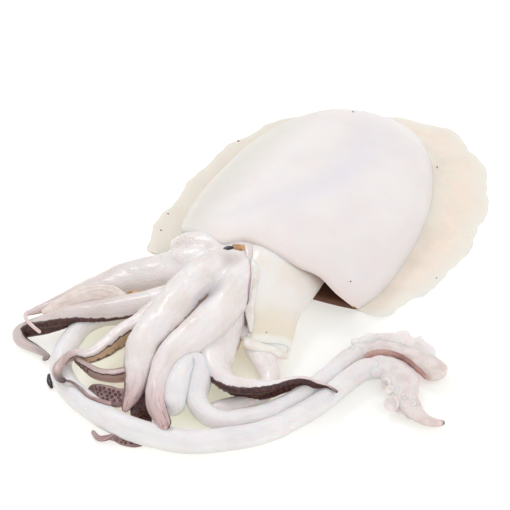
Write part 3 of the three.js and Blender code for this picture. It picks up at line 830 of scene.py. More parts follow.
fin = skin("fin", fin_rings, tips[0], tips[-1], {
    "outward": 1 - rows_in, "flank": 0.8 * smooth_step(20, 55, -beside)})
keep(fin, fin_skin)
print("fin:", len(fin.data.polygons), "faces")

# %% [markdown]
# ## Limbs
#
# Arms, tentacles, head and funnel are all swept along a route. A girth gives width, thickness and
# roll at even steps. The sucker side of an arm is flatter than its back, with a low rim along both
# edges, so the section is an oval with a hollow in its lower side.

# %% A limb's rounded ends and its section
END_RINGS = 7                 # rings that round off each end of a limb


def round_ends(limb, spacing):
    """Shares along a limb, close together at its rounded ends, and how far each is drawn in."""
    length = length_of(limb["route"])
    caps = [min(max(limb["girth"][end][1] / 2 / length, 0.004), 0.2) for end in (0, -1)]
    ease = 1 - np.cos(np.linspace(0, math.pi / 2, END_RINGS + 1))[1:]
    count = max(int(length / spacing), 8)
    body = np.linspace(caps[0], 1 - caps[1], count)[1:-1]
    shares = np.concatenate([caps[0] * ease, body, (1 - caps[1] * ease)[::-1]])
    root = np.clip(shares / caps[0], 0, 1)
    tip = np.clip((1 - shares) / caps[1], 0, 1)
    return shares, np.sqrt(1 - (1 - root) ** 2) * np.sqrt(1 - (1 - tip) ** 2)


def section(size, turn, hollow, lean=0.0):
    """Across and up, before the roll, for widths and heights (n) and turns (m)."""
    rise = np.sign(np.sin(turn)) * np.abs(np.sin(turn)) ** 0.9
    facing = -np.sin(turn)
    under = np.clip(facing, 0, 1)
    dish = hollow * np.exp(-(np.cos(turn) / 0.55) ** 2) * under
    rim = hollow * 0.28 * np.exp(-((facing - 0.5) / 0.2) ** 2)
    wide = size[:, :1] / 2 * (np.cos(turn) * (1 + rim))
    tall = size[:, 1:2] / 2 * rise * (1 - dish)
    return wide + lean * np.maximum(tall, 0), tall


print("ends and sections ready")


# %% Sweep a limb
def limb_rings(limb, around=48, spacing=1.1, swell=0.03, folds=0.0, seed=1):
    """Rings, end points and the values of a limb that every limb material may read."""
    shares, drawn_in = round_ends(limb, spacing)
    middle, across, up = limb_frame(limb["route"], shares)
    size = through(limb["girth"], shares)
    size[:, :2] *= drawn_in[:, None]
    turn = 2 * math.pi * np.arange(around)[None, :] / around
    wide, tall = section(size, turn, limb.get("hollow", 0.0))
    roll = np.radians(size[:, 2:3])
    x = wide * np.cos(roll) + tall * np.sin(roll)
    z = tall * np.cos(roll) - wide * np.sin(roll)
    rings = (middle[:, None] + across[:, None] * x[..., None] + up[:, None] * z[..., None])
    uneven = swell * (waves(rings, 19, seed) + 0.5 * waves(rings, 7, seed + 50))
    drift = 2.4 * waves(middle, 38, seed + 90)[:, None]
    lengthwise = 0.6 * np.sin(2 * turn + drift) + 0.4 * np.sin(3 * turn - 1.7 * drift)
    grown = 1 - swell - folds + uneven + folds * lengthwise
    rings = middle[:, None] + (rings - middle[:, None]) * grown[..., None]
    rings[..., 2] = np.maximum(rings[..., 2], 0)
    flow = np.stack(np.broadcast_arrays(
        0.12 * length_of(limb["route"]) * shares[:, None], size[:, :1] / 2 * np.cos(turn),
        size[:, :1] / 2 * np.sin(turn)), -1) * MM
    first, last = (along_route(limb["route"], [end])[0][0] for end in (0, 1))
    return rings, first, last, {
        "oral": -np.sin(turn) + 0 * shares[:, None], "along": shares[:, None], "flow": flow}


ALL_PAINT = ("mauve", "grey", "stain", "line", "black", "narrow", "wet")


def limb_skin(name, limb, paint=None, **settings):
    """A limb's skin, with each paint's amounts spread along it; a paint left out is 0."""
    rings, first, last, values = limb_rings(limb, **settings)
    flow = values.pop("flow")
    for key in ALL_PAINT:
        places, amounts = zip(*(paint or {}).get(key, [(0, 0), (1, 0)]))
        values[key] = np.interp(values["along"][:, 0], places, amounts)[:, None]
    return skin(name, rings, first, last, values, flow)


print("limbs can be swept")

# %% [markdown]
# ## The eight arms
#
# Each arm has its own route, width and twist. The ones that lie on edge show their dark sucker
# side. Two curled ends that come out from under the others, "front_curl" and "hidden_tip", are
# limbs of their own. What each is painted with is given as amounts at shares of its length: mauve
# skin, grey skin, dark stain inside, a dark line along the edges of the sucker side, a black tip,
# and how much narrower the sucker side is than half the arm.

# %% The two far arms
ARMS = {}
ARMS["far_flank"] = dict(
    route=[(-8, -80, 16), (-19, -95, 15), (-32, -106.5, 12.5), (-42.5, -116.5, 10.5),
           (-50, -126.5, 9), (-56, -136, 8), (-61, -148, 7), (-64.5, -157, 7), (-67, -165.5, 8),
           (-66, -172, 11), (-60, -177, 14), (-53, -179, 14.5), (-49, -178.5, 12.5)],
    girth=[(26, 20, 0), (26, 19, 0), (26, 17.5, 0), (25, 15.5, 0), (24, 14, 0), (21.5, 12, 0),
           (18, 9.5, 5), (15, 7.5, 10), (11, 6, 5), (6, 4.5, 0), (3, 3, 0), (2, 2, 0), (2, 2, 0)],
    hollow=0.4,
    paint=dict(mauve=[(0, 0), (0.42, 0), (0.6, 0.15), (0.8, 0.5), (1, 0.6)],
               grey=[(0, 0), (0.1, 0), (0.38, 0.3), (0.55, 0.3), (0.75, 0.2), (1, 0)],
               stain=[(0, 0), (0.55, 0.1), (0.7, 0.5), (0.86, 0.6), (1, 0)],
               line=[(0, 0), (0.45, 0.3), (0.6, 0.8), (1, 0.2)]))
ARMS["far_ribbon"] = dict(
    route=[(1.5, -99.5, 16), (-14.5, -125.5, 16), (-23, -135, 14.5), (-32, -145, 13),
           (-43, -155, 11.5), (-49, -162.5, 10), (-55, -169, 8), (-60.5, -174.5, 6.5),
           (-63.5, -179.5, 5), (-59, -183, 4), (-51.5, -182.5, 3.4), (-44.5, -182, 3),
           (-41.5, -182.5, 3), (-42.5, -185.5, 2.5)],
    girth=[(16, 12, 15), (15.5, 12, 10), (15.5, 12, 5), (15, 12, 3), (15, 12, 5),
           (14, 12, 10), (13, 12, 22), (11.5, 12, 48), (10.5, 12, 75), (9, 10, 90),
           (6.5, 7.5, 75), (4.5, 4.5, 50), (2, 2, 0)],
    hollow=0.5,
    paint=dict(mauve=[(0, 0), (0.4, 0.1), (0.75, 0.2), (0.9, 0.5), (1, 0.8)],
               stain=[(0, 0.1), (0.25, 0.5), (0.4, 1), (0.85, 1), (1, 0.8)],
               line=[(0, 0.3), (0.3, 0.9), (1, 1)],
               grey=[(0, 0), (0.2, 0.05), (0.35, 0.35), (0.8, 0.4), (0.95, 0.6), (1, 0.9)],
               black=[(0, 0), (0.9, 0), (0.97, 0.25), (1, 0.5)]))
print("far arms:", list(ARMS))

# %% The two middle arms
ARMS["middle_bent"] = dict(
    route=[(1, -101.5, 16), (-11.5, -133.5, 14), (-13, -145, 13), (-15.5, -155.5, 12),
           (-16.5, -167, 11.5), (-18.5, -176, 12), (-23.5, -181, 13.5), (-24, -189, 14.5),
           (-21.5, -195.5, 15), (-16.5, -198, 14.5), (-14.5, -196.5, 13.5)],
    girth=[(15, 13, 10), (14.5, 12.5, 30), (14.5, 12.5, 60), (14, 12, 80), (14, 12, 85),
           (13, 11, 85), (13.5, 11, 88), (12.5, 10.5, 90), (10.5, 9, 85), (8, 7, 75),
           (6.5, 5.5, 60), (5.5, 4.5, 20), (2.5, 2.5, 0)],
    hollow=0.5,
    paint=dict(mauve=[(0, 0), (0.5, 0.05), (0.74, 0.15), (0.82, 0.8), (1, 1)],
               stain=[(0, 0), (0.8, 0.05), (0.9, 0.3), (1, 1)],
               line=[(0, 0.3), (0.25, 1), (1, 1)],
               narrow=[(0, 0.55), (0.7, 0.6), (0.82, 0.4), (1, 0.2)],
               grey=[(0, 0), (0.76, 0), (0.86, 0.5), (1, 0.3)],
               black=[(0, 0), (0.93, 0), (0.98, 0.8), (1, 1)]))
ARMS["middle_curled"] = dict(
    route=[(3.5, -119.5, 12), (5, -147.5, 9), (1.5, -169.5, 7), (-4.5, -176.5, 7),
           (-10.5, -180, 8), (-16.5, -181, 10), (-23, -181.5, 12)],
    girth=[(13, 11, 0), (12.5, 10, 20), (12, 9.5, 50), (11, 8.5, 80), (9.5, 8, 90),
           (7.5, 7.5, 90), (7, 6, 90), (5, 4, 70)],
    hollow=0.4,
    paint=dict(mauve=[(0, 0.1), (0.5, 0.5), (0.7, 0.8), (1, 0.8)],
               grey=[(0, 0), (0.6, 0.2), (0.8, 0.5), (1, 0.5)],
               stain=[(0, 0), (0.7, 0.1), (1, 0.7)], narrow=[(0, 0.45), (1, 0.4)],
               line=[(0, 0.2), (0.6, 1), (1, 1)]))
print("middle arms:", list(ARMS)[2:])

# %% The two thick front arms, and the curl between their tips
ARMS["front_long"] = dict(
    route=[(-1, -76.5, 15), (-2.5, -85, 17.5), (-4, -95, 19), (-4.5, -107, 19),
           (-3.5, -120, 19), (-1.5, -133, 19), (-0.5, -147, 18), (1, -156.5, 16.5),
           (6, -165.5, 14.5), (10.5, -172.5, 12), (14.5, -180.5, 9.5), (17, -190.5, 6.5)],
    girth=[(20, 18, 0), (23, 21, 10), (24, 22, 20), (24, 23, 26), (24, 22, 28), (22.5, 21, 26),
           (21, 19, 18), (19, 17, 5), (17, 15.5, -15), (14.5, 12.5, -40), (11, 9, -60),
           (3, 3, -70)],
    hollow=0.3,
    paint=dict(mauve=[(0, 0), (0.8, 0.0), (0.88, 0.4), (0.94, 0.8), (1, 0.9)],
               stain=[(0, 0), (0.4, 0.2), (0.7, 0.5), (0.85, 0.6), (1, 0.6)],
               line=[(0, 0), (0.22, 0), (0.34, 0.45), (0.7, 0.6), (0.85, 0.6), (1, 0.6)]))
ARMS["front_curl"] = dict(
    route=[(14, -179.5, 8), (10, -185.5, 7.5), (4, -188, 7.5), (-2.5, -189, 7),
           (-7, -189.5, 6.5)],
    girth=[(7, 8, 150), (9.5, 9, 150), (11, 9, 150), (9.5, 8.5, 150), (5, 5, 150)],
    hollow=0.3,
    paint=dict(mauve=[(0, 1), (1, 1)], stain=[(0, 0.4), (1, 0.6)], line=[(0, 1), (1, 1)],
               narrow=[(0, 0.2), (1, 0.2)], black=[(0, 0), (0.6, 0), (1, 0.3)]))
ARMS["front_broad"] = dict(
    route=[(1.5, -68, 14), (8, -82, 17), (13, -94.5, 18), (17, -108, 18.5), (19.5, -128, 18.5),
           (18, -140.5, 17.5), (16.5, -151.5, 16), (17.5, -159.5, 14.5), (20.5, -167, 13.5),
           (24.5, -175, 13), (30, -181.5, 12.5), (36.5, -186, 12.5), (44.5, -190.5, 12.5)],
    girth=[(16, 18, 0), (18, 20, 0), (20, 21.5, 0), (21.5, 22, 0), (22, 21.5, 0), (21.5, 20, -5),
           (20, 18, -15), (18, 16, -25), (15, 14, -30), (12, 11, -20), (10.5, 9.5, 10),
           (9.5, 7.5, 40), (7, 5, 55)],
    hollow=0.3,
    paint=dict(mauve=[(0, 0), (0.6, 0.0), (0.75, 0.2), (0.85, 0.6), (1, 1)],
               stain=[(0, 0), (0.6, 0.3), (0.85, 0.8), (1, 1)],
               line=[(0, 0), (0.3, 0.3), (0.6, 0.8), (0.8, 0.9), (1, 0.9)]))
print("front arms:", list(ARMS)[4:])

# %% The near arm, the one underneath, and the tip of a hidden one
ARMS["near_ribbon"] = dict(
    route=[(7.5, -89.5, 13), (15, -104, 12.5), (21.5, -117.5, 11.5), (27.5, -129.5, 10.5),
           (33, -139, 10), (40.5, -145.5, 10), (50.5, -148, 10.3), (57.5, -145.5, 10.3),
           (63.5, -142, 10.3), (68, -136.5, 10.3), (72.5, -129.5, 10.5), (78.5, -124.5, 11),
           (84, -123, 11), (89, -121, 11.5), (95, -122, 12)],
    girth=[(16, 20, 0), (18, 20, 0), (19.5, 19, 0), (20, 17, 0), (20.5, 15.5, -5),
           (20, 14, -15), (17.5, 13, -30), (15, 12.5, -45), (13, 11.5, -60), (11.5, 10, -75),
           (8.5, 7.5, -85), (6.5, 6, -90), (3.5, 3, -80), (1.5, 1.5, 0)],
    hollow=0.5,
    paint=dict(mauve=[(0, 0), (0.8, 0.05), (0.93, 0.6), (1, 0.9)],
               stain=[(0, 0), (0.4, 0), (0.52, 1), (0.85, 1), (1, 1)],
               line=[(0, 0), (0.42, 0), (0.52, 1), (1, 1)],
               black=[(0, 0), (0.94, 0), (0.98, 0.5), (1, 0.8)]))
ARMS["underneath"] = dict(
    route=[(15, -89, 6), (29, -102, 5.5), (40, -113, 5.5), (50, -121, 5.5), (59, -128, 5),
           (62, -138, 4.5), (58, -148.5, 4), (49, -159.5, 3.5), (45, -164.5, 3)],
    girth=[(15, 11, 0), (16.5, 11, 0), (17.5, 11, 0), (17, 10.5, 0), (13, 8.5, 0),
           (10.5, 7.5, 0), (10, 6.5, 0), (10, 5.5, 0), (6, 4, 0)],
    hollow=0.2,
    paint=dict(mauve=[(0, 0), (1, 0.1)]))
ARMS["hidden_tip"] = dict(
    route=[(14.5, -151.5, 6), (19.5, -168, 6), (20.5, -177.5, 6), (22, -183.5, 4.5),
           (27.5, -189.5, 2.5), (31, -195.5, 2.5), (27, -200, 2.5), (21, -203.5, 2.5),
           (16, -207.5, 2), (10, -206, 2)],
    girth=[(8, 7, 180), (9.5, 7, 180), (11, 7, 180), (12.5, 7, 180), (12, 6, 170),
           (10.5, 5, 150), (10.5, 5, 140), (7, 4, 110), (3.5, 3, 20), (2, 2, 0)],
    hollow=0.3,
    paint=dict(mauve=[(0, 1), (1, 1)], stain=[(0, 1), (0.62, 1), (0.72, 0.5), (1, 0.5)],
               line=[(0, 1), (1, 1)], grey=[(0, 0), (0.9, 0), (1, 0.8)],
               black=[(0, 0.2), (0.55, 0.2), (0.7, 0), (1, 0.2)]))
print("near arms:", list(ARMS)[7:])

# %% Sweep the arms
ARM_MESH = dict(around=56, spacing=0.9, swell=0.035, folds=0.035)
ARM_SEED = 20
for number, (name, arm) in enumerate(ARMS.items()):
    piece = limb_skin("arm_" + name, arm, arm["paint"], seed=ARM_SEED + number, **ARM_MESH)
    keep(piece, arm_skin)
    print(piece.name, round(length_of(arm["route"])), "mm,", len(piece.data.polygons), "faces")

# %% [markdown]
# ## The head
#
# The arms grow out of the head without a seam. Copies of their thick roots are joined with the
# neck, the shoulder and the loose folds of skin round the neck, turned into one skin of small even
# cells, and smoothed, which rounds the creases between them. The copies are a little thicker at the
# root and thinner at their end, so that the arms leave the head's skin gently.

# %% The neck, the folds round it, and the arms' roots
HEAD = {
    "neck": dict(route=[(-4, -58, 15), (-6, -78, 15), (-8, -94, 13.5), (-8, -110, 12)],
                 girth=[(72, 26, 0), (70, 27, 0), (54, 25, 0), (38, 20, 0)]),
    "shoulder": dict(route=[(4, -66, 18), (-6, -80, 18), (-19, -90, 16), (-31, -99, 12),
                            (-42, -110, 9)],
                     girth=[(20, 18, 0), (20, 16, 0), (19, 15, 0), (17, 13, 0), (12, 10, 0)]),
    "collar": dict(route=[(-36.5, -93, 8), (-31.5, -88.5, 12), (-25, -82.5, 16), (-17.5, -78, 19),
                          (-7.5, -76.5, 20), (2, -80, 19)],
                   girth=[(11, 9, 0), (13, 11.5, 0), (14, 13, 0), (13, 12, 0), (12, 11, 0),
                          (11, 10, 0)]),
    "neck_fold": dict(route=[(-37, -92, 10), (-30.5, -94, 16), (-24.5, -96.5, 19.8), (-19, -96, 22),
                             (-14.5, -92.5, 24.2), (-10, -88.5, 25.5)],
                      girth=[(6, 5, 0), (11, 8, 0), (14.5, 10.5, 0), (14.5, 11, 0), (12, 9, 0),
                             (7, 5, 0)]),
    "rim_fold": dict(route=[(-39, -79, 9), (-32, -82.5, 16.5), (-26, -83, 21), (-19.5, -82.6, 24.2),
                            (-13, -82.8, 26.4), (-7, -82.6, 27)],
                     girth=[(9, 8, -10), (17, 11, -10), (20, 12, -10), (19, 11.5, -10), (13, 8, -5),
                            (5, 4, 0)]),
}
ROOT_SHARE = 0.42             # how much of each arm the head's skin takes in
LOOSE_TIPS = ("middle_curled", "front_curl", "hidden_tip")     # these come out from under others


def root_of(arm):
    """The root of an arm, a touch thicker where it starts and thinner where it ends."""
    shares = np.linspace(0, ROOT_SHARE, 9)
    middle, _ = along_route(arm["route"], shares)
    size = through(arm["girth"], shares)
    size[:, :2] *= np.interp(shares, [0, ROOT_SHARE * 0.5, ROOT_SHARE], [1.03, 1.0, 0.8])[:, None]
    return dict(route=middle.tolist(), girth=size.tolist(), hollow=arm["hollow"])


lumps = list(HEAD.values())
lumps += [root_of(arm) for name, arm in ARMS.items() if name not in LOOSE_TIPS]
print("the head joins", len(lumps), "lumps")

# %% Join, remesh and smooth
HEAD_CELL = 0.95              # in millimetres
HEAD_SEED = 40
joined = bmesh.new()
for number, lump in enumerate(lumps):
    rings, first, last, _ = limb_rings(lump, around=40, spacing=1.6, swell=0.015,
                                       seed=HEAD_SEED + number)
    rough = skin("rough", rings, first, last)
    joined.from_mesh(rough.data)
    bpy.data.meshes.remove(rough.data)
rough_mesh = bpy.data.meshes.new("rough_head")
joined.to_mesh(rough_mesh)
joined.free()
rough_head = bpy.data.objects.new("rough_head", rough_mesh)
bpy.context.scene.collection.objects.link(rough_head)
remesh = rough_head.modifiers.new("cells", "REMESH")
remesh.mode = "VOXEL"
remesh.voxel_size = HEAD_CELL * MM
soften = rough_head.modifiers.new("soften", "SMOOTH")
soften.factor, soften.iterations = 0.5, 14
graph = bpy.context.evaluated_depsgraph_get()
head_mesh = bpy.data.meshes.new_from_object(rough_head.evaluated_get(graph))
bpy.data.objects.remove(rough_head)
print("head cells:", len(head_mesh.polygons))

# %% The head's values and finish
# Painted shade: a grey spot in the dip beside the funnel's root
NECK_DIP_SHADE = (4, -88.5)         # the grey dip beside the funnel's root
NECK_SHINE = (-24, -90)       # the folds where water stands
spots = np.empty(len(head_mesh.vertices) * 3)
head_mesh.vertices.foreach_get("co", spots)
spots = spots.reshape(-1, 3)
spots[:, 2] = np.maximum(spots[:, 2], 0)
head_mesh.vertices.foreach_set("co", spots.ravel())
x, y = spots[:, 0] / MM, spots[:, 1] / MM
dip_shade = smooth_step(9, 2, np.hypot(x - NECK_DIP_SHADE[0], y - NECK_DIP_SHADE[1]))
shine = smooth_step(17, 7, np.hypot(x - NECK_SHINE[0], y - NECK_SHINE[1]))
# grey: greyer skin towards the left, and painted shade in the dip
head_values = {"grey": 0.3 * smooth_step(16, 42, -x) + 0.45 * dip_shade, "wet": 0.7 * shine,
               "oral": np.full(len(spots), -1)}
for key in ALL_PAINT + ("oral",):
    values = head_values.get(key, np.zeros(len(spots))).astype(np.float32)
    head_mesh.attributes.new(key, "FLOAT", "POINT").data.foreach_set("value", values)
set_vectors(head_mesh, "flow", spots * (1, 0.15, 1))
head = finish_mesh("head", head_mesh)
keep(head, arm_skin)
print("head:", len(head_mesh.polygons), "faces")

# %% [markdown]
# ## The funnel
#
# The funnel is the jet that the animal swims with: a soft cone that comes out of the mantle's
# mouth and is open at its tip. Its section leans to one side, which gives it a long crest. Its
# rings run down the outside, round the lip and back up inside, as the mantle's do.

# %% The funnel's rings, from the root over the lip into the bore
FUNNEL = dict(
    route=[(20, -58, 15), (26, -74, 14.5), (34.5, -91, 12.5), (42.5, -103, 10), (48, -113, 7.5)],
    girth=[(48, 30, 0), (42, 27, 0), (32, 21, 0), (23.5, 14, 0), (19.5, 6.5, 0)],
    lean=0.7, mouth_depth=10, wall=1.6, flare=0.8)
FUNNEL_AROUND = 110
OUTSIDE_ROWS, LIP_ROWS, BORE_ROWS = 90, 7, 11

funnel_length = length_of(FUNNEL["route"])
lip_radius = FUNNEL["wall"] / 2
back_from_tip = list(1 - np.linspace(0.01, 1, OUTSIDE_ROWS))
insets = [0.0] * OUTSIDE_ROWS
for angle in np.linspace(0, math.pi, LIP_ROWS + 1)[1:]:
    back_from_tip.append(-math.sin(angle) * lip_radius / funnel_length * 0.9)
    insets.append(lip_radius * (1 - math.cos(angle)))
for part in np.linspace(0, 1, BORE_ROWS + 1)[1:]:
    back_from_tip.append(part * FUNNEL["mouth_depth"] / funnel_length)
    insets.append(FUNNEL["wall"] * (1 + part))
shares = 1 - np.array(back_from_tip)
middle, across, up = limb_frame(FUNNEL["route"], shares)
size = through(FUNNEL["girth"], shares)
flare = FUNNEL["flare"] * smooth_step(0.90, 0.985, shares)     # the lip is rolled outwards
size[:, :2] += (flare - 2 * np.array(insets))[:, None]
turn = 2 * math.pi * np.arange(FUNNEL_AROUND)[None, :] / FUNNEL_AROUND
wide, tall = section(size, turn, 0.0, FUNNEL["lean"])
rings = middle[:, None] + across[:, None] * wide[..., None] + up[:, None] * tall[..., None]
print("funnel rings:", len(rings), "over", round(funnel_length), "mm")

# %% The funnel's skin, with its uneven lip
near_lip = smooth_step(0.8, 1, shares)[:, None]
uneven = 0.35 * waves(rings, 22, 61) + 0.3 * near_lip * waves(rings, 7, 62)
rings += (rings - middle[:, None]) / 14 * uneven[..., None]
lip_wave = 1.9 * np.sin(2 * turn + 0.6) + 1.0 * np.sin(3 * turn + 2.0)
reach = lip_wave * smooth_step(0.78, 1, shares)[:, None]
rings += np.cross(up, across)[:, None] * reach[..., None]
rings[..., 2] = np.maximum(rings[..., 2], 0)
# How deep each ring lies in the bore, for the painted shade there
bore_depth = np.linspace(0.3, 1, BORE_ROWS + 1)
inner_depth = np.concatenate([np.zeros(len(rings) - len(bore_depth)), bore_depth])
funnel = skin("funnel", rings, middle[0], rings[-1].mean(0), {
    "along": shares[:, None], "depth": inner_depth[:, None]})
keep(funnel, funnel_skin)
print("funnel:", len(funnel.data.polygons), "faces")

# %% [markdown]
# ## The feeding tentacles
#
# Two long tentacles, which the living animal shoots at its prey, end in broad clubs. The outer one
# lies in a wide loop round the arms, and the inner one turns back in a tight hairpin. Each is made
# of a few limbs that run into one another, because a club is lumpier than a stalk.

# %% Tentacle routes and skins
TENTACLES = {
    "outer_stalk": dict(
        route=[(-4, -92, 9), (-14, -118, 7), (-27.5, -136, 6), (-37, -145.5, 6), (-40.5, -156, 6),
               (-38.5, -167, 6), (-35, -177, 6), (-28.5, -186.5, 6), (-17, -193.5, 6),
               (0.5, -197.5, 6.5), (19, -198, 6.5), (37, -194, 6.5), (55, -186, 6.5),
               (68, -174, 6.5), (79, -159, 6), (85, -144, 6), (89, -127, 5.5), (91, -108, 5.5),
               (94, -95, 5.5), (101, -89, 5.5)],
        girth=[(12, 12, 0), (11, 11, 0), (11, 11, 0), (12, 12, 0), (12.5, 12, 0), (12, 12, 0),
               (11.5, 11.5, 0), (11, 11, 0), (12, 10, 0)],
        paint=dict(mauve=[(0, 0), (0.9, 0), (1, 0.4)])),
    "outer_club": dict(
        route=[(92, -98, 5.5), (101, -89, 5.5), (109, -90, 5.5), (117, -97, 5), (125, -103, 4.5),
               (133, -105, 4), (139, -103, 3), (143, -100, 2.5)],
        girth=[(11, 10, 0), (16, 11, 0), (20, 11, 0), (18, 10, 0), (13, 8, 0), (8, 5, 0),
               (3, 3, 0)],
        paint=dict(mauve=[(0, 0.2), (0.3, 0.6), (1, 1)], stain=[(0, 0), (0.8, 0.1), (1, 0.5)],
                   black=[(0, 0), (0.97, 0), (0.99, 0.9), (1, 1)])),
    "inner_root": dict(
        route=[(13, -128, 8), (18.5, -145.5, 6.5), (26, -164, 5.5), (35, -177.5, 6)],
        girth=[(11, 11, 0), (13, 11, 0), (14, 11, 0), (15, 11, 0)],
        paint={}),
    "inner_stalk": dict(
        route=[(35.5, -179, 7), (32.5, -173.5, 9), (29, -165.5, 11), (26, -157, 12.5),
               (26, -149, 12.5), (31, -148.5, 12), (36, -155, 10.5), (39, -161.5, 8.5),
               (44, -166, 7), (51.5, -167.5, 6), (59, -165, 5.5), (65, -158.5, 5.5),
               (71, -151, 5.5), (76, -139, 5.2), (79, -126, 5.2), (81, -112, 5.2), (82, -97, 5.2),
               (85, -84, 5.2)],
        girth=[(15, 12, 0), (15, 12.5, 0), (12.5, 12, 0), (11.5, 11.5, 0), (12, 11, 0),
               (11, 10.5, 0)] + [(10, 10.4, 0)] * 8,
        paint=dict(mauve=[(0, 0), (0.85, 0.1), (1, 0.5)])),
    "inner_club": dict(
        route=[(82, -96, 5.2), (85, -84.5, 5.5), (92, -77.5, 6), (102.5, -73.5, 6), (113, -73.5, 6),
               (121, -75, 5.7), (127, -77.5, 5.5)],
        girth=[(10, 10, 0), (12, 10.5, -15), (14, 10.5, -25), (16, 11, -30), (17.5, 11, -30),
               (18, 11, -30), (18, 11, -25), (17, 11, -15), (14, 11, 0)],
        paint=dict(mauve=[(0, 0.3), (0.3, 0.8), (1, 1)],
                   stain=[(0, 0), (0.1, 0), (0.17, 1), (0.93, 1), (0.98, 0)])),
}
TENTACLE_SEED = 80
for number, (name, limb) in enumerate(TENTACLES.items()):
    lumpy, folds = (0.09, 0.06) if "club" in name else (0.02, 0.02)
    piece = limb_skin("tentacle_" + name, limb, limb["paint"], around=44, spacing=1.0,
                      seed=TENTACLE_SEED + number, swell=lumpy, folds=folds)
    keep(piece, tentacle_skin)
    print(piece.name, round(length_of(limb["route"])), "mm,", len(piece.data.polygons), "faces")

# %% [markdown]
# ## The frill and the funnel's flap
#
# Thin lobes hang between two lines: the one that they grow from, and their free edge, which may be
# scalloped and ragged. Both faces are built, so that each lobe is a closed sheet with a rounded
# edge. The inner club has such a frill along its far side, and the funnel a flap at its lip.

# %% A lobe between two lines
LOBE_ALONG, LOBE_ROWS = 130, 13


def lobe(name, root, edge, thick, crumple, seed, scallops=0, depth=0.0, ragged=0.0):
    shares = np.linspace(0, 1, LOBE_ALONG + 2)[1:-1]
    root_line, _ = along_route(root, shares)
    edge_line, _ = along_route(edge, shares)
    wave = np.abs(np.sin(math.pi * scallops * shares)) ** 0.6 if scallops else 1 + 0 * shares
    reach = 1 - depth * (1 - wave) + ragged * waves(edge_line, 8, seed)
    span = (edge_line - root_line) * reach[:, None]
    out = np.linspace(0, 1, LOBE_ROWS)
    middle = root_line[:, None] + span[:, None] * out[:, None]
    middle[..., 2] += crumple * out * waves(middle, 7, seed)
    ends = np.sqrt(np.clip(np.minimum(shares, 1 - shares) / 0.05, 0, 1))
    outward = np.minimum(0.3 + 2.5 * out, 1.3) * np.sqrt(1 - 0.97 * out ** 6)
    half = 0.5 * thick * ends[:, None] * outward
    top, low = middle.copy(), middle.copy()
    top[..., 2] += half
    low[..., 2] = np.maximum(low[..., 2] - half, 0)
    rings = np.concatenate([top, low[:, ::-1]], 1)
    return skin(name, rings, rings[0].mean(0), rings[-1].mean(0), {
        "along": 0.97, "oral": -1.0, "mauve": 1 - np.concatenate([out, out[::-1]])[None] ** 0.7})


frill = lobe("club_frill",
             [(83.5, -89, 8.5), (87, -82, 9.6), (92, -77.5, 10.3), (99, -74.3, 10.6),
              (106.5, -73, 10.5), (114, -72.6, 10), (120, -73, 9)],
             [(76.5, -84.5, 7.5), (80, -79.5, 9), (86, -73.5, 10), (91, -70, 10.5), (98, -65, 11),
              (105, -63, 11), (111, -63.5, 10.5), (116, -63, 9)],
             1.6, crumple=1.5, seed=7, scallops=6, depth=0.16, ragged=0.13)
keep(frill, tentacle_skin)
lip_flap = lobe("funnel_flap",
                [(36, -107, 10), (41, -108, 11), (47, -108, 10.5), (52, -107, 9.5),
                 (54, -105, 8.5)],
                [(34, -115, 8.8), (38.4, -119.6, 8.9), (43, -119, 8.9), (48.4, -116.3, 8.7),
                 (54, -114.6, 7.9), (57, -112, 7.2)],
                1.8, crumple=1.4, seed=9)
keep(lip_flap, funnel_skin)
print("lobes:", len(frill.data.polygons) + len(lip_flap.data.polygons), "faces")

# %% [markdown]
# ## Folds, strands and organs
#
# Smaller limbs finish the animal. The funnel gets a ridge that catches a long glint, a rolled lip
# and a dark line beside it, which is painted shade in the gap between the funnel and an arm. A
# membrane lies between the far arms, beside a brown patch of painted shade round an orange speck.
# A strand of skin lies over the outer tentacle, and the end of a hidden arm shows beyond it. A
# black strip of painted shade stands for the gap under the mantle's rim, beside a brown organ and
# pink flesh.

